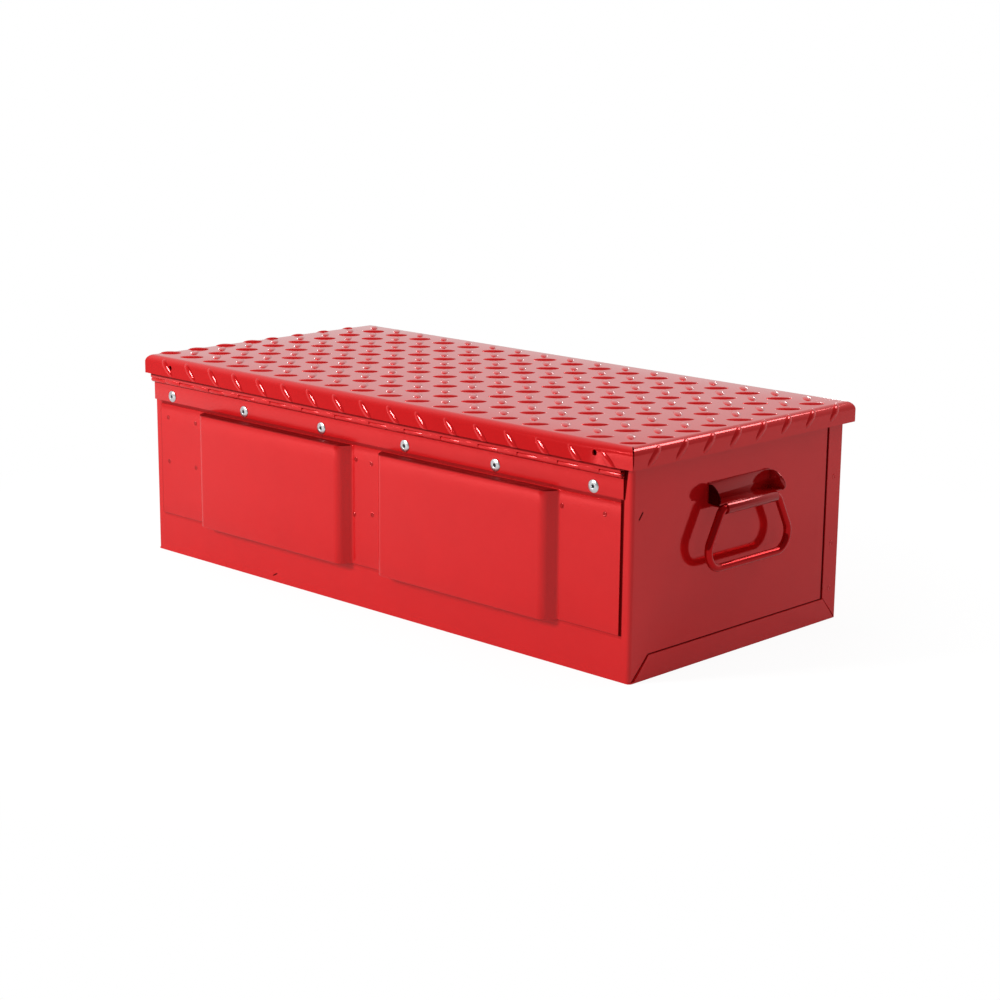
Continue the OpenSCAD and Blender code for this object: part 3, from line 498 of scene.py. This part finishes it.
def grid_faces(rows, columns, wrap=False):
    """Quads of a grid of rows x columns vertices, whose columns close up if wrap is set."""
    row, column = np.meshgrid(np.arange(rows - 1),
                              np.arange(columns if wrap else columns - 1), indexing="ij")
    after = (column + 1) % columns
    a, b = row * columns + column, row * columns + after
    c, d = (row + 1) * columns + after, (row + 1) * columns + column
    return np.stack([a, b, c, d], -1).reshape(-1, 4)


def joined(parts):
    """One array of points and one list of faces from several."""
    points, faces, count = [], [], 0
    for part_points, part_faces in parts:
        points.append(part_points)
        faces += [[int(i) + count for i in face] for face in part_faces]
        count += len(part_points)
    return np.concatenate(points), faces


def make_piece(name, points, faces, material, body, slot, replaced=(), sharp=35):
    """A closed mesh piece from points and faces. Its doubles are merged, its faces turned
    outwards and shaded smooth up to an edge angle, and it may stand for CAD nodes."""
    mesh = bpy.data.meshes.new(name)
    mesh.from_pydata(np.asarray(points).reshape(-1, 3).tolist(), [],
                     [list(map(int, face)) for face in faces])
    shape = bmesh.new()
    shape.from_mesh(mesh)
    bmesh.ops.remove_doubles(shape, verts=shape.verts, dist=0.002 * mm)
    bmesh.ops.dissolve_degenerate(shape, edges=shape.edges, dist=0.001 * mm)
    bmesh.ops.recalc_face_normals(shape, faces=shape.faces)
    shape.to_mesh(mesh)
    shape.free()
    mesh.polygons.foreach_set("use_smooth", np.ones(len(mesh.polygons), bool))
    mesh.set_sharp_from_angle(angle=math.radians(sharp))
    mesh.materials.append(material)
    mesh.update()
    piece = bpy.data.objects.new(name, mesh)
    bpy.context.scene.collection.objects.link(piece)
    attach(piece, body)
    if replaced:
        dress(replaced, material)
        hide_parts(*replaced)
    return piece


def plate_shell():
    """The folded plate without its treads: a top patch and four lip patches, outer and
    inner skin, joined by strips along the lips' edges. A lip's two ends follow the mitre:
    at an angle round the bend, they lie the bend's reach past the start of the next one,
    less half the seam, which opens over the first part of the bend."""
    bend_steps, seam_opens = 9, 0.3
    angles = np.linspace(0, math.pi / 2, bend_steps)
    down = np.concatenate([angles * bend_r, bend_length + lip_length * np.array([0.5, 1.0])])
    angle = np.minimum(down / bend_r, math.pi / 2)
    gap = seam / 2 * np.minimum(angle / seam_opens, 1)
    spread = np.linspace(-1, 1, 9)
    patches = []

    def add_patch(grid):
        patches.append((grid.reshape(-1, 3), grid_faces(*grid.shape[:2])))

    def lip(axis, side, height):
        start, other = (flat_x, flat_y) if axis == 0 else (flat_y, flat_x)
        half = other + (bend_r + height) * np.sin(angle) - gap
        along, over = np.broadcast_arrays(spread * half[:, None],
                                          side * (start + down)[:, None])
        x, y = (over, along) if axis == 0 else (along, over)
        return fold_lid(x, y, np.full(x.shape, height), *(np.full(x.shape, axis == bend)
                                                          for bend in (0, 1)))

    for height in (0.0, -plate):
        for axis in (0, 1):
            for side in (-1, 1):
                skin = lip(axis, side, height)
                add_patch(skin)
                if height < 0:
                    outer = lip(axis, side, 0.0)
                    for edge in (np.s_[-1, :], np.s_[:, 0], np.s_[:, -1]):
                        add_patch(np.stack([outer[edge], skin[edge]]))
        x, y = np.meshgrid(spread * flat_x, spread * flat_y, indexing="ij")
        none = np.zeros(x.shape, bool)
        add_patch(fold_lid(x, y, np.full(x.shape, height), none, none))
    return joined(patches)


def tread_caps():
    """Every tread as a closed, blunt lens. Along it, the half width is w(s) = w0 (1 -
    (s/l)^2)^0.5. Across it, the height falls off as 1 - |t/w|^3.5, and along it as
    (1 - (s/l)^2)^0.55. Its bottom lies in the plate. The rows and columns of the pattern
    lean a little from the lid's edges, and each lip has a single row of whole treads."""
    pitch_x, pitch_y, half_length, half_width = 40.6 * mm, 39.8 * mm, 13.0 * mm, 4.2 * mm
    shift_x, shift_y, sunk = -6.1 * mm, -8.5 * mm, 0.5 * mm
    # How far the single rows on the lips are moved, outwards and along, from the pattern.
    end_path, end_along, side_path, side_along = 5.2 * mm, -10.5 * mm, 14.0 * mm, 8.8 * mm
    slant, lean = math.tan(math.radians(0.55)), math.tan(math.radians(1.05))
    edge_x, edge_y = (start + bend_length + lip_length for start in (flat_x, flat_y))
    count_x, count_y = (int(edge / pitch_y * 2) + 2 for edge in (edge_x, edge_y))
    m, n = np.meshgrid(np.arange(-count_x, count_x + 1), np.arange(-count_y, count_y + 1),
                       indexing="ij")
    m, n = m[(m + n) % 2 == 0], n[(m + n) % 2 == 0]
    centre_x = m * pitch_x / 2 - n * pitch_y / 2 * lean + shift_x
    centre_y = n * pitch_y / 2 - m * pitch_x / 2 * slant + shift_y
    turn = np.where(m % 2 == 0, 1, -1) * math.pi / 4
    on_end, on_side = np.abs(centre_x) > flat_x, np.abs(centre_y) > flat_y
    centre_x = np.where(on_end, centre_x + np.sign(centre_x) * end_path, centre_x)
    centre_y = np.where(on_end, centre_y + end_along, centre_y)
    centre_y = np.where(on_side, centre_y + np.sign(centre_y) * side_path, centre_y)
    centre_x = np.where(on_side, centre_x + side_along, centre_x)
    reach = half_length * math.cos(math.pi / 4)
    keep = ((np.abs(centre_x) < edge_x) & (np.abs(centre_y) < edge_y) & ~(on_end & on_side)
            & ~(on_side & (np.abs(centre_x) > flat_x + bend_r - reach))
            & ~(on_end & (np.abs(centre_y) > flat_y + bend_r - reach)))
    centre_x, centre_y, turn, on_end, on_side = (
        v[keep][:, None, None] for v in (centre_x, centre_y, turn, on_end, on_side))

    stations = 17
    s = half_length * np.sin(np.linspace(-1, 1, stations) * math.pi / 2)
    round_off = np.maximum(1 - (s / half_length) ** 2, 0)
    width = half_width * round_off ** 0.5
    across = np.array([-1, -0.95, -0.86, -0.72, -0.45, 0, 0.45, 0.72, 0.86, 0.95, 1,
                       0.6, -0.6])               # over the lens, then back below it
    rise = np.array([*(1 - np.abs(across[:11]) ** 3.5), 0, 0])
    under = np.array([0.1] + [0] * 9 + [0.1, 1, 1]) * sunk
    t = width[:, None] * across[None, :]
    height = tread_height * (round_off ** 0.55)[:, None] * rise[None, :] - under[None, :]
    s = np.repeat(s[:, None], len(across), 1)
    x = centre_x + s * -np.sin(turn) + t * np.cos(turn)
    y = centre_y + s * np.cos(turn) + t * np.sin(turn)
    height = np.broadcast_to(height, x.shape)

    both = ~on_side & ~on_end & (np.abs(x) > flat_x) & (np.abs(y) > flat_y)
    y = np.where(both, np.clip(y, -flat_y, flat_y), y)
    past_x = (np.abs(x) > flat_x) & ~on_side
    past_y = (np.abs(y) > flat_y) & ~past_x
    points = fold_lid(x, y, height, past_x, past_y)
    one = grid_faces(stations, len(across), wrap=True)
    faces = one[None] + (np.arange(len(points)) * stations * len(across))[:, None, None]
    return points.reshape(-1, 3), faces.reshape(-1, 4)


def trim_below(piece, level):
    """Shears closed solids off along a level plane and closes the cuts again."""
    shape = bmesh.new()
    shape.from_mesh(piece.data)
    geometry = shape.verts[:] + shape.edges[:] + shape.faces[:]
    bmesh.ops.bisect_plane(shape, geom=geometry, plane_co=(0, 0, level), plane_no=(0, 0, -1),
                           clear_outer=True)
    bmesh.ops.holes_fill(shape, edges=[e for e in shape.edges if e.is_boundary], sides=0)
    shape.to_mesh(piece.data)
    shape.free()


def cut_holes(piece, centres, radius, depth):
    """Drills round holes along Y through a piece, by a boolean that is applied at once."""
    for x, y, z in centres:
        mesh = bpy.data.meshes.new("drill")
        shape = bmesh.new()
        bmesh.ops.create_cone(shape, cap_ends=True, segments=32, radius1=radius, radius2=radius,
                              depth=depth, matrix=Matrix.Translation((x, y, z))
                              @ Matrix.Rotation(math.pi / 2, 4, "X"))
        shape.to_mesh(mesh)
        shape.free()
        drill = bpy.data.objects.new("drill", mesh)
        bpy.context.scene.collection.objects.link(drill)
        cut = piece.modifiers.new("hole", "BOOLEAN")
        cut.object, cut.operation, cut.solver = drill, "DIFFERENCE", "EXACT"
        bpy.context.view_layer.update()
        result = bpy.data.meshes.new_from_object(
            piece.evaluated_get(bpy.context.evaluated_depsgraph_get()))
        piece.modifiers.clear()
        piece.data = result
        bpy.data.objects.remove(drill)


def lip_lean_group():
    """Tilts the normals of the rear lip up a little, as if it were folded short of 90
    degrees, except near its right end."""
    lean = 0.16
    group, given, result = new_group("lip_lean", [("Normal", "NodeSocketVector", (0, 0, 0))],
                                     [("Normal", "NodeSocketVector")])
    make, link = group.nodes.new, group.links.new
    place, axes, lift, add, unit = (make("ShaderNode" + kind) for kind in (
        "TexCoord", "SeparateXYZ", "CombineXYZ", "VectorMath", "VectorMath"))
    link(place.outputs["Object"], axes.inputs[0])
    rearwards = ranged(group, axes.outputs["Y"], 0.0, 1.0, -160 * mm, -168 * mm)
    leftwards = ranged(group, axes.outputs["X"], 0.0, 1.0, 335 * mm, 300 * mm)
    link(calculated(group, "MULTIPLY", rearwards, leftwards), lift.inputs["Z"])
    add.operation, unit.operation = "MULTIPLY_ADD", "NORMALIZE"
    link(lift.outputs[0], add.inputs[0])
    add.inputs[1].default_value = (lean, lean, lean)
    link(given.outputs["Normal"], add.inputs[2])
    link(add.outputs["Vector"], unit.inputs[0])
    link(unit.outputs["Vector"], result.inputs["Normal"])
    return group


hole_x, hole_z, hole_r, drill_length = 313.0 * mm, 213.2 * mm, 2.8 * mm, 12.0 * mm
tread_paint = powder_coat("tread_paint", waves=0.06, lean=lip_lean_group())
lid = make_piece("tread_plate", *plate_shell(), tread_paint, "lid", "tread_plate_red",
                 ["lid_plate"], sharp=40)
cut_holes(lid, [(x, lid_low.y, hole_z) for x in (-hole_x, hole_x)], hole_r, drill_length)
treads = make_piece("treads", *tread_caps(), tread_paint, "lid", "tread_plate_red", sharp=75)
rim_clearance = 0.05 * mm
trim_below(treads, lid_low.z + rim_clearance)


# ------------------------------------------------------------- rear panel
# One steel sheet, spot-welded to the rear wall, with two bulges pressed out of it for
# the drawers. They have steep flanks, wide rounded crests and closed ends.

panel_low, panel_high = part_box("rear_panel")
sheet, wall_y = 1.2 * mm, panel_high.y
bulge_out, bulge_x, bulge_half = wall_y - panel_low.y - sheet, 143.0 * mm, 122.5 * mm
foot_r, crest_r, flank_angle = 3.0 * mm, 10.2 * mm, math.radians(60)


def panel_profile():
    """Outer and inner skin line of the panel as (x, distance from the wall). A half bulge
    is a foot arc of 0 to 60 degrees, a straight flank and a crest arc of 60 to 0 degrees.
    The inner line lies one sheet inside, along the normal."""
    turn = np.linspace(0, flank_angle, 9)
    drop = bulge_out - (foot_r + crest_r) * (1 - math.cos(flank_angle))
    run = (foot_r + crest_r) * math.sin(flank_angle) + drop / math.tan(flank_angle)
    foot = np.stack([foot_r * np.sin(turn), sheet + foot_r * (1 - np.cos(turn)), turn], -1)
    back = turn[::-1]
    crest = np.stack([run - crest_r * np.sin(back),
                      sheet + bulge_out - crest_r * (1 - np.cos(back)), back], -1)
    half = np.concatenate([foot, crest])
    other = half[::-1] * [-1, 1, -1]
    bulge = np.concatenate([half - [bulge_half, 0, 0], other + [bulge_half, 0, 0]])
    ends = [[[side * panel_high.x, sheet, 0]] for side in (-1, 1)]
    line = np.concatenate([ends[0], bulge - [bulge_x, 0, 0], bulge + [bulge_x, 0, 0], ends[1]])
    outer, slope = line[:, :2], line[:, 2:]
    return outer, outer + sheet * np.concatenate([np.sin(slope), -np.cos(slope)], -1)


def panel_shell():
    """The panel as one loop per point of its profile: up the outer skin, whose two ends are
    rounded over, back to the wall, round the closed end and down the inner skin."""
    outer, inner = panel_profile()
    low, high, edge = panel_low.z, panel_high.z, 0.8 * mm
    bend = np.linspace(0, math.pi / 2, 4)
    rim_z, rim_in = edge * (1 - np.sin(bend)), edge * (1 - np.cos(bend))
    z = np.concatenate([low + rim_z[::-1], np.linspace(low, high, 7)[1:-1], high - rim_z])
    pulled = np.concatenate([rim_in[::-1], np.zeros(5), rim_in])
    skin = [np.stack([outer[:, 0], wall_y - outer[:, 1] + pull, np.full(len(outer), level)], -1)
            for level, pull in zip(z, pulled)]
    back = [(outer, 0, high), (inner, 0, high - sheet), (inner, 1, high - sheet),
            (inner, 1, low + sheet), (inner, 0, low + sheet), (outer, 0, low)]
    skin += [np.stack([line[:, 0], wall_y - line[:, 1] * out, np.full(len(line), level)], -1)
             for line, out, level in back]
    points = np.stack(skin, 1)
    columns, rows = points.shape[:2]
    faces = grid_faces(columns, rows, wrap=True).tolist()
    ends = [list(range(rows)), list(range((columns - 1) * rows, columns * rows))]
    return points, faces + ends


# The tops of the bulges take painted shade, with the dark reflection of the hinge's leaf
# painted in.
panel_paint = powder_coat("panel_paint", marks_and_painted_shade=mark_and_shade_group(
    "panel_painted_shade", [("level", 168.9, 172, 0.7, -163.3)]))
make_piece("bulged_panel", *panel_shell(), panel_paint, "chest", "red_powder_coat",
           ["rear_panel"], sharp=30)


# ------------------------------------------------------------- spot welds
# Each spot weld of the panel, and of the front wall's flange on each end, leaves a shallow
# crater with a raised rim, which the paint follows.

def lathe(profile, centres, axis, across, segments=32):
    """Closed solids turned from a profile of (radius, height) points whose two ends are on
    the axis. There is one at every centre, its height measured along the axis."""
    profile = np.asarray(profile, float)
    axis, across = np.asarray(axis, float), np.asarray(across, float)
    angle = np.linspace(0, 2 * math.pi, segments, endpoint=False)
    around = np.cos(angle)[:, None] * across + np.sin(angle)[:, None] * np.cross(axis, across)
    one = profile[:, None, :1] * around[None] + profile[:, None, 1:] * axis
    points = np.asarray(centres, float)[:, None, None] + one[None]
    quads = grid_faces(len(profile), segments, wrap=True)
    step = len(profile) * segments
    faces = quads[None] + (np.arange(len(points)) * step)[:, None, None]
    return points.reshape(-1, 3), faces.reshape(-1, 4)


weld_paint = powder_coat("weld_paint", (0.46, 0.004, 0.005, 1), waves=0.0, roughness=0.1)
weld_rim = np.array([(0, -0.2), (0, 0.02), (1.2, 0.0), (1.7, 0.25), (2.2, 0.42), (2.6, 0.25),
                     (3.0, -0.02), (3.0, -0.2), (0, -0.2)]) * mm
panel_weld_size = 0.85
panel_welds = [(-328, 155), (-279, 155), (-328, 105), (-280, 105), (-16, 155), (7, 154),
               (-19, 97), (8, 101), (268, 155), (321, 156)]
places = [(x * mm, wall_y - sheet, z * mm) for x, z in panel_welds]
rings = lathe(weld_rim * panel_weld_size, places, (0, -1, 0), (1, 0, 0), 20)
make_piece("weld_marks", *rings, weld_paint, "chest", "red_powder_coat", sharp=60)
flange_x, flange_weld_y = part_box("front_wall")[1].x, 149.5 * mm
for side, sign in (("left", -1), ("right", 1)):
    places = [(sign * flange_x, flange_weld_y, z * mm) for z in (149, 80, 33)]
    make_piece("flange_welds_" + side, *lathe(weld_rim, places, (sign, 0, 0), (0, 1, 0), 16),
               body_paint, "chest", "red_powder_coat", sharp=60)


# ----------------------------------------------------------------- rivets
# Six blind rivets hold the hinge's leaf: a broad domed flange of bright zinc, with the
# broken mandrel deep in its dark centre hole.

def dark_steel(name):
    """Dark steel with a rough, mottled break, near black to paint the shade down a rivet's
    hole.
    """
    material = bpy.data.materials.new(name)
    tree, make, link = empty_tree(material)
    shader, ramp = make("ShaderNodeBsdfPrincipled"), make("ShaderNodeValToRGB")
    ramp.color_ramp.elements[0].color = (0.006, 0.007, 0.010, 1)
    ramp.color_ramp.elements[1].color = (0.03, 0.032, 0.04, 1)
    shader.inputs["Roughness"].default_value = 0.6
    shader.inputs["Specular IOR Level"].default_value = 0.2
    link(noise(tree, 900.0), ramp.inputs["Fac"])
    link(ramp.outputs["Color"], shader.inputs["Base Color"])
    link(shader.outputs[0], make("ShaderNodeOutputMaterial").inputs["Surface"])
    return material


rivet_low, rivet_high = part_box("hinge_rivets")
rivet_r, rivets, leaf = 6.3 * mm, 6, 1.2 * mm
rivet_z, leaf_y = (rivet_low.z + rivet_high.z) / 2, wall_y - leaf
rivet_places = [(x, leaf_y, rivet_z) for x in np.linspace(rivet_low.x + rivet_r,
                                                          rivet_high.x - rivet_r, rivets)]
rivet_head = np.array([(0, -1.9), (1.5, -1.9), (1.6, -1.7), (1.7, 1.0), (2.0, 1.35),
                       (2.6, 1.48), (3.4, 1.4), (4.6, 1.12), (5.6, 0.78), (6.1, 0.5),
                       (6.3, 0.25), (6.2, 0.0), (2.4, 0.0), (2.4, -2.4), (3.6, -2.4),
                       (3.7, -3.5), (3.0, -5.2), (0, -5.4), (0, -1.9)]) * mm
mandrel = np.array([(0, -1.0), (1.7, -1.0), (1.7, 0.35), (0.7, 0.5), (0, 0.3)]) * mm
make_piece("rivet_heads", *lathe(rivet_head, rivet_places, (0, -1, 0), (1, 0, 0)), zinc_plate,
           "chest", "zinc_plated_steel", ["hinge_rivets"], sharp=50)
make_piece("rivet_mandrels", *lathe(mandrel, rivet_places, (0, -1, 0), (1, 0, 0), 16),
           dark_steel("broken_mandrel"), "chest", "zinc_plated_steel", sharp=40)


# ------------------------------------------------------------ piano hinge
# Both leaves are thin steel strips whose edges are rolled round one pin, every second
# knuckle on each. The body's leaf is riveted on and the lid's leaf is welded in the lip.

leaf_low, leaf_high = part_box("hinge_leaf_body")
lid_leaf_low, lid_leaf_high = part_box("hinge_leaf_lid")
knuckle_r, knuckle_gap, knuckles = 2.7 * mm, 0.2 * mm, 27
pin_z = leaf_high.z - knuckle_r
pin_y = wall_y - knuckle_r - 0.3 * mm
body_strip_top, lid_strip_foot = pin_z - 3.0 * mm, pin_z + 2.4 * mm
knuckle_step = (leaf_high.x - leaf_low.x) / knuckles
dress(["hinge_pin"], zinc_plate)


def inset(outline, distance):
    """A convex outline moved inwards, each corner along the mean of its edges' normals."""
    ahead = np.roll(outline, -1, 0) - outline
    normal = np.stack([ahead[:, 1], -ahead[:, 0]], -1)
    normal /= np.linalg.norm(normal, axis=1)[:, None]
    both = normal + np.roll(normal, 1, 0)
    return outline - both * distance / (np.sum(both * normal, 1))[:, None]


def slab(outline, thickness, at, across, upwards, edge):
    """A flat piece from a convex, counterclockwise outline, with rounded edges. Its plane
    is spanned by two directions, and its thickness is along their cross product."""
    outline = np.asarray(outline, float)
    turn = np.linspace(0, math.pi / 2, 3)
    steps = [(edge * (1 - math.sin(a)), edge * (1 - math.cos(a))) for a in turn]
    steps += [(pull, thickness - rise) for pull, rise in steps[::-1]]
    across, upwards = np.asarray(across, float), np.asarray(upwards, float)
    rings = [inset(outline, pull)[:, :1] * across + inset(outline, pull)[:, 1:] * upwards
             + rise * np.cross(across, upwards) for pull, rise in steps]
    points = np.asarray(at, float) + np.stack(rings)
    count = len(outline)
    faces = grid_faces(len(rings), count, wrap=True).tolist()
    return points.reshape(-1, 3), faces + [
        list(range(count)), list(range((len(rings) - 1) * count, len(rings) * count))]


def rectangle(x0, x1, y0, y1):
    """The corners of a rectangle, counterclockwise."""
    return [(x0, y0), (x1, y0), (x1, y1), (x0, y1)]


def hinge_leaf(first, y, z0, z1, tongue_to):
    """A leaf of the hinge: its strip, and a tongue and a rolled knuckle at every second
    place along it. The strip's outer face is at y."""
    front = dict(at=(0, y + leaf, 0), across=(1, 0, 0), upwards=(0, 0, 1))
    parts = [slab(rectangle(leaf_low.x, leaf_high.x, z0, z1), leaf, edge=0.3 * mm, **front)]
    start, length = first * knuckle_step + knuckle_gap / 2, knuckle_step - knuckle_gap
    low, high = sorted((tongue_to, z1 if tongue_to > z1 else z0))
    roll = np.array([(0, 0), (2.3, 0), (2.6, 0.12), (2.7, 0.4)]) * mm
    profile = np.concatenate([roll, [[knuckle_r, length - 0.4 * mm]],
                              roll[2::-1] * [1, -1] + [0, length]])
    centres = []
    for x in np.arange(leaf_low.x + start, leaf_high.x - length / 2, 2 * knuckle_step):
        tongue = rectangle(x, x + length, low - 0.2 * mm, high + 0.2 * mm)
        parts.append(slab(tongue, leaf, edge=0.2 * mm, **front))
        centres.append((x, pin_y, pin_z))
    parts.append(lathe(profile, centres, (1, 0, 0), (0, 0, 1), 24))
    return joined(parts)


# Painted shade makes dark lines under the knuckles and where the lid's leaf goes up behind the
# lip.
hinge_painted_shade = mark_and_shade_group("hinge_painted_shade", [("level", 192.3, 192.9, 0.4, -160),
                                          ("level", 200.9, 206, 0.6, -160)])
hinge_paint = powder_coat("hinge_paint", roughness=0.22, marks_and_painted_shade=hinge_painted_shade)
make_piece("rear_hinge_leaf", *hinge_leaf(0, leaf_y, leaf_low.z, body_strip_top, pin_z),
           hinge_paint, "chest", "red_powder_coat", ["hinge_leaf_body"], sharp=50)
make_piece("lid_hinge_leaf",
           *hinge_leaf(1, lid_leaf_low.y, lid_strip_foot, lid_leaf_high.z, pin_z),
           hinge_paint, "lid", "red_powder_coat", ["hinge_leaf_lid"], sharp=50)


# ----------------------------------------------------------- drop handles
# On each end a bail of bent steel rod hangs in the curl of a pressed bracket, whose two
# ends are folded up into gussets that lean outwards.

# Both paints are darker copies of the body's red, which paint in the dim light at the ends, and
# the bracket's also puts painted shade on the near gusset's outer face.
handle_paint = powder_coat("handle_paint", (0.52, 0.006, 0.008, 1), peel=0.08, waves=0.0,
                           roughness=0.02, sheen=0.7, ior=1.3)
bracket_paint = powder_coat("bracket_paint", (0.42, 0.004, 0.005, 1), peel=0.08, waves=0.0,
                            roughness=0.02,
                            marks_and_painted_shade=mark_and_shade_group("gusset_painted_shade", [("before", -53.3)]))
bail_top, bail_width, bail_drop, bail_r, top_r = (
    v * mm for v in (86.0, 122.5, 56.4, 18.0, 8.0))
rod_r, rod_out, bail_y, bail_z = 4.0 * mm, 14.5 * mm, -5.4 * mm, 150.0 * mm


def bail_path():
    """Centre line of the bail and its outward normal, from the middle of the lower bar
    round to the middle of the top bar, then mirrored. The arm is the tangent from the top
    bar's end to the lower corner's arc, and its upper corner is rounded too."""
    centre = np.array([bail_width / 2 - bail_r, bail_r - bail_drop])
    top = np.array([bail_top / 2, 0.0])
    reach = np.linalg.norm(centre - top)
    slant = (math.atan2(centre[0] - top[0], top[1] - centre[1])
             + math.asin(bail_r / reach))                # from straight down, outwards
    low_turn = np.linspace(-math.pi / 2, slant, 16)
    low = centre + bail_r * np.stack([np.cos(low_turn), np.sin(low_turn)], -1)
    cut = top_r * math.tan((math.pi / 2 - slant) / 2)
    high_turn = np.linspace(slant, math.pi / 2, 10)
    high = (top - [cut, top_r]) + top_r * np.stack([np.cos(high_turn), np.sin(high_turn)], -1)
    path, turn = np.concatenate([low, high]), np.concatenate([low_turn, high_turn])
    path = np.concatenate([path, path[::-1] * [-1, 1]])
    turn = np.concatenate([turn, math.pi - turn[::-1]])
    return path, np.stack([np.cos(turn), np.sin(turn)], -1)


def bail():
    """The rod, a closed tube swept along the bail's path in a plane beside the end wall."""
    path, normal = bail_path()
    around = np.linspace(0, 2 * math.pi, 24, endpoint=False)
    flat = path[:, None] + rod_r * np.cos(around)[None, :, None] * normal[:, None]
    out = np.broadcast_to(rod_r * np.sin(around), flat.shape[:2])
    points = np.stack([end_x + rod_out + out, bail_y + flat[..., 0], bail_z + flat[..., 1]], -1)
    rows, columns = points.shape[:2]
    faces = grid_faces(rows + 1, columns, wrap=True) % (rows * columns)
    return points, faces


def bracket():
    """Wall plate, shelf, two gussets, curl and the curl's tail, for the right end."""
    steel, height, root, lean = 1.6 * mm, 18.0 * mm, 46.7 * mm, math.atan(4.0 / 19.0)
    curl_in, curl_half = rod_r + 0.05 * mm, 38.5 * mm
    curl_out = curl_in + steel
    shelf_z, shelf_out, edge = bail_z + curl_out, rod_out + 1.0 * mm, 0.5 * mm
    half = root + math.tan(lean) * shelf_out
    x_axis, y_axis, z_axis = np.eye(3)
    parts = [
        slab(rectangle(-root, root, shelf_z - steel, shelf_z + height), steel,
             (end_x, bail_y, 0), y_axis, z_axis, edge),
        slab([(0, -root), (shelf_out, -half), (shelf_out, half), (0, root)], steel,
             (end_x, bail_y, shelf_z - steel), x_axis, y_axis, edge),
        slab(rectangle(0, rod_out - rod_r, -curl_half, curl_half), steel,
             (end_x, bail_y, bail_z - steel / 2), x_axis, y_axis, edge)]
    gusset = np.array([(0.8, -1.6), (16.2, -1.6), (18.4, 0.8), (19.0, 3.2), (18.2, 6.4),
                       (16.2, 9.8), (13.3, 12.8), (10.0, 15.2), (6.4, 17.0), (0.8, 17.0)]) * mm
    for side in (-1, 1):
        across = np.array([math.cos(lean), side * math.sin(lean), 0])
        at = (np.array([end_x, bail_y + side * root, shelf_z])
              - np.cross(across, z_axis) * steel / 2)
        parts.append(slab(gusset, steel, at, across, z_axis, edge))
    ring = np.array([(curl_in, 0), (curl_out - edge, 0), (curl_out - 0.15 * edge, 0.15 * edge),
                     (curl_out, edge)])
    profile = np.concatenate([ring, ring[::-1] * [1, -1] + [0, 2 * curl_half], ring[:1]])
    curl_start = (end_x + rod_out, bail_y - curl_half, bail_z)
    parts.append(lathe(profile, [curl_start], y_axis, x_axis, 40))
    return joined(parts)


for side, sign in (("left", -1), ("right", 1)):
    for name, (points, faces), body, paint, node in (
            ("bail_rod_", bail(), "bail_" + side, handle_paint, "handle_bail_"),
            ("pressed_bracket_", bracket(), "chest", bracket_paint, "handle_bracket_")):
        make_piece(name + side, points * [sign, 1, 1], faces, paint, body, "red_powder_coat",
                   [node + side], sharp=40)
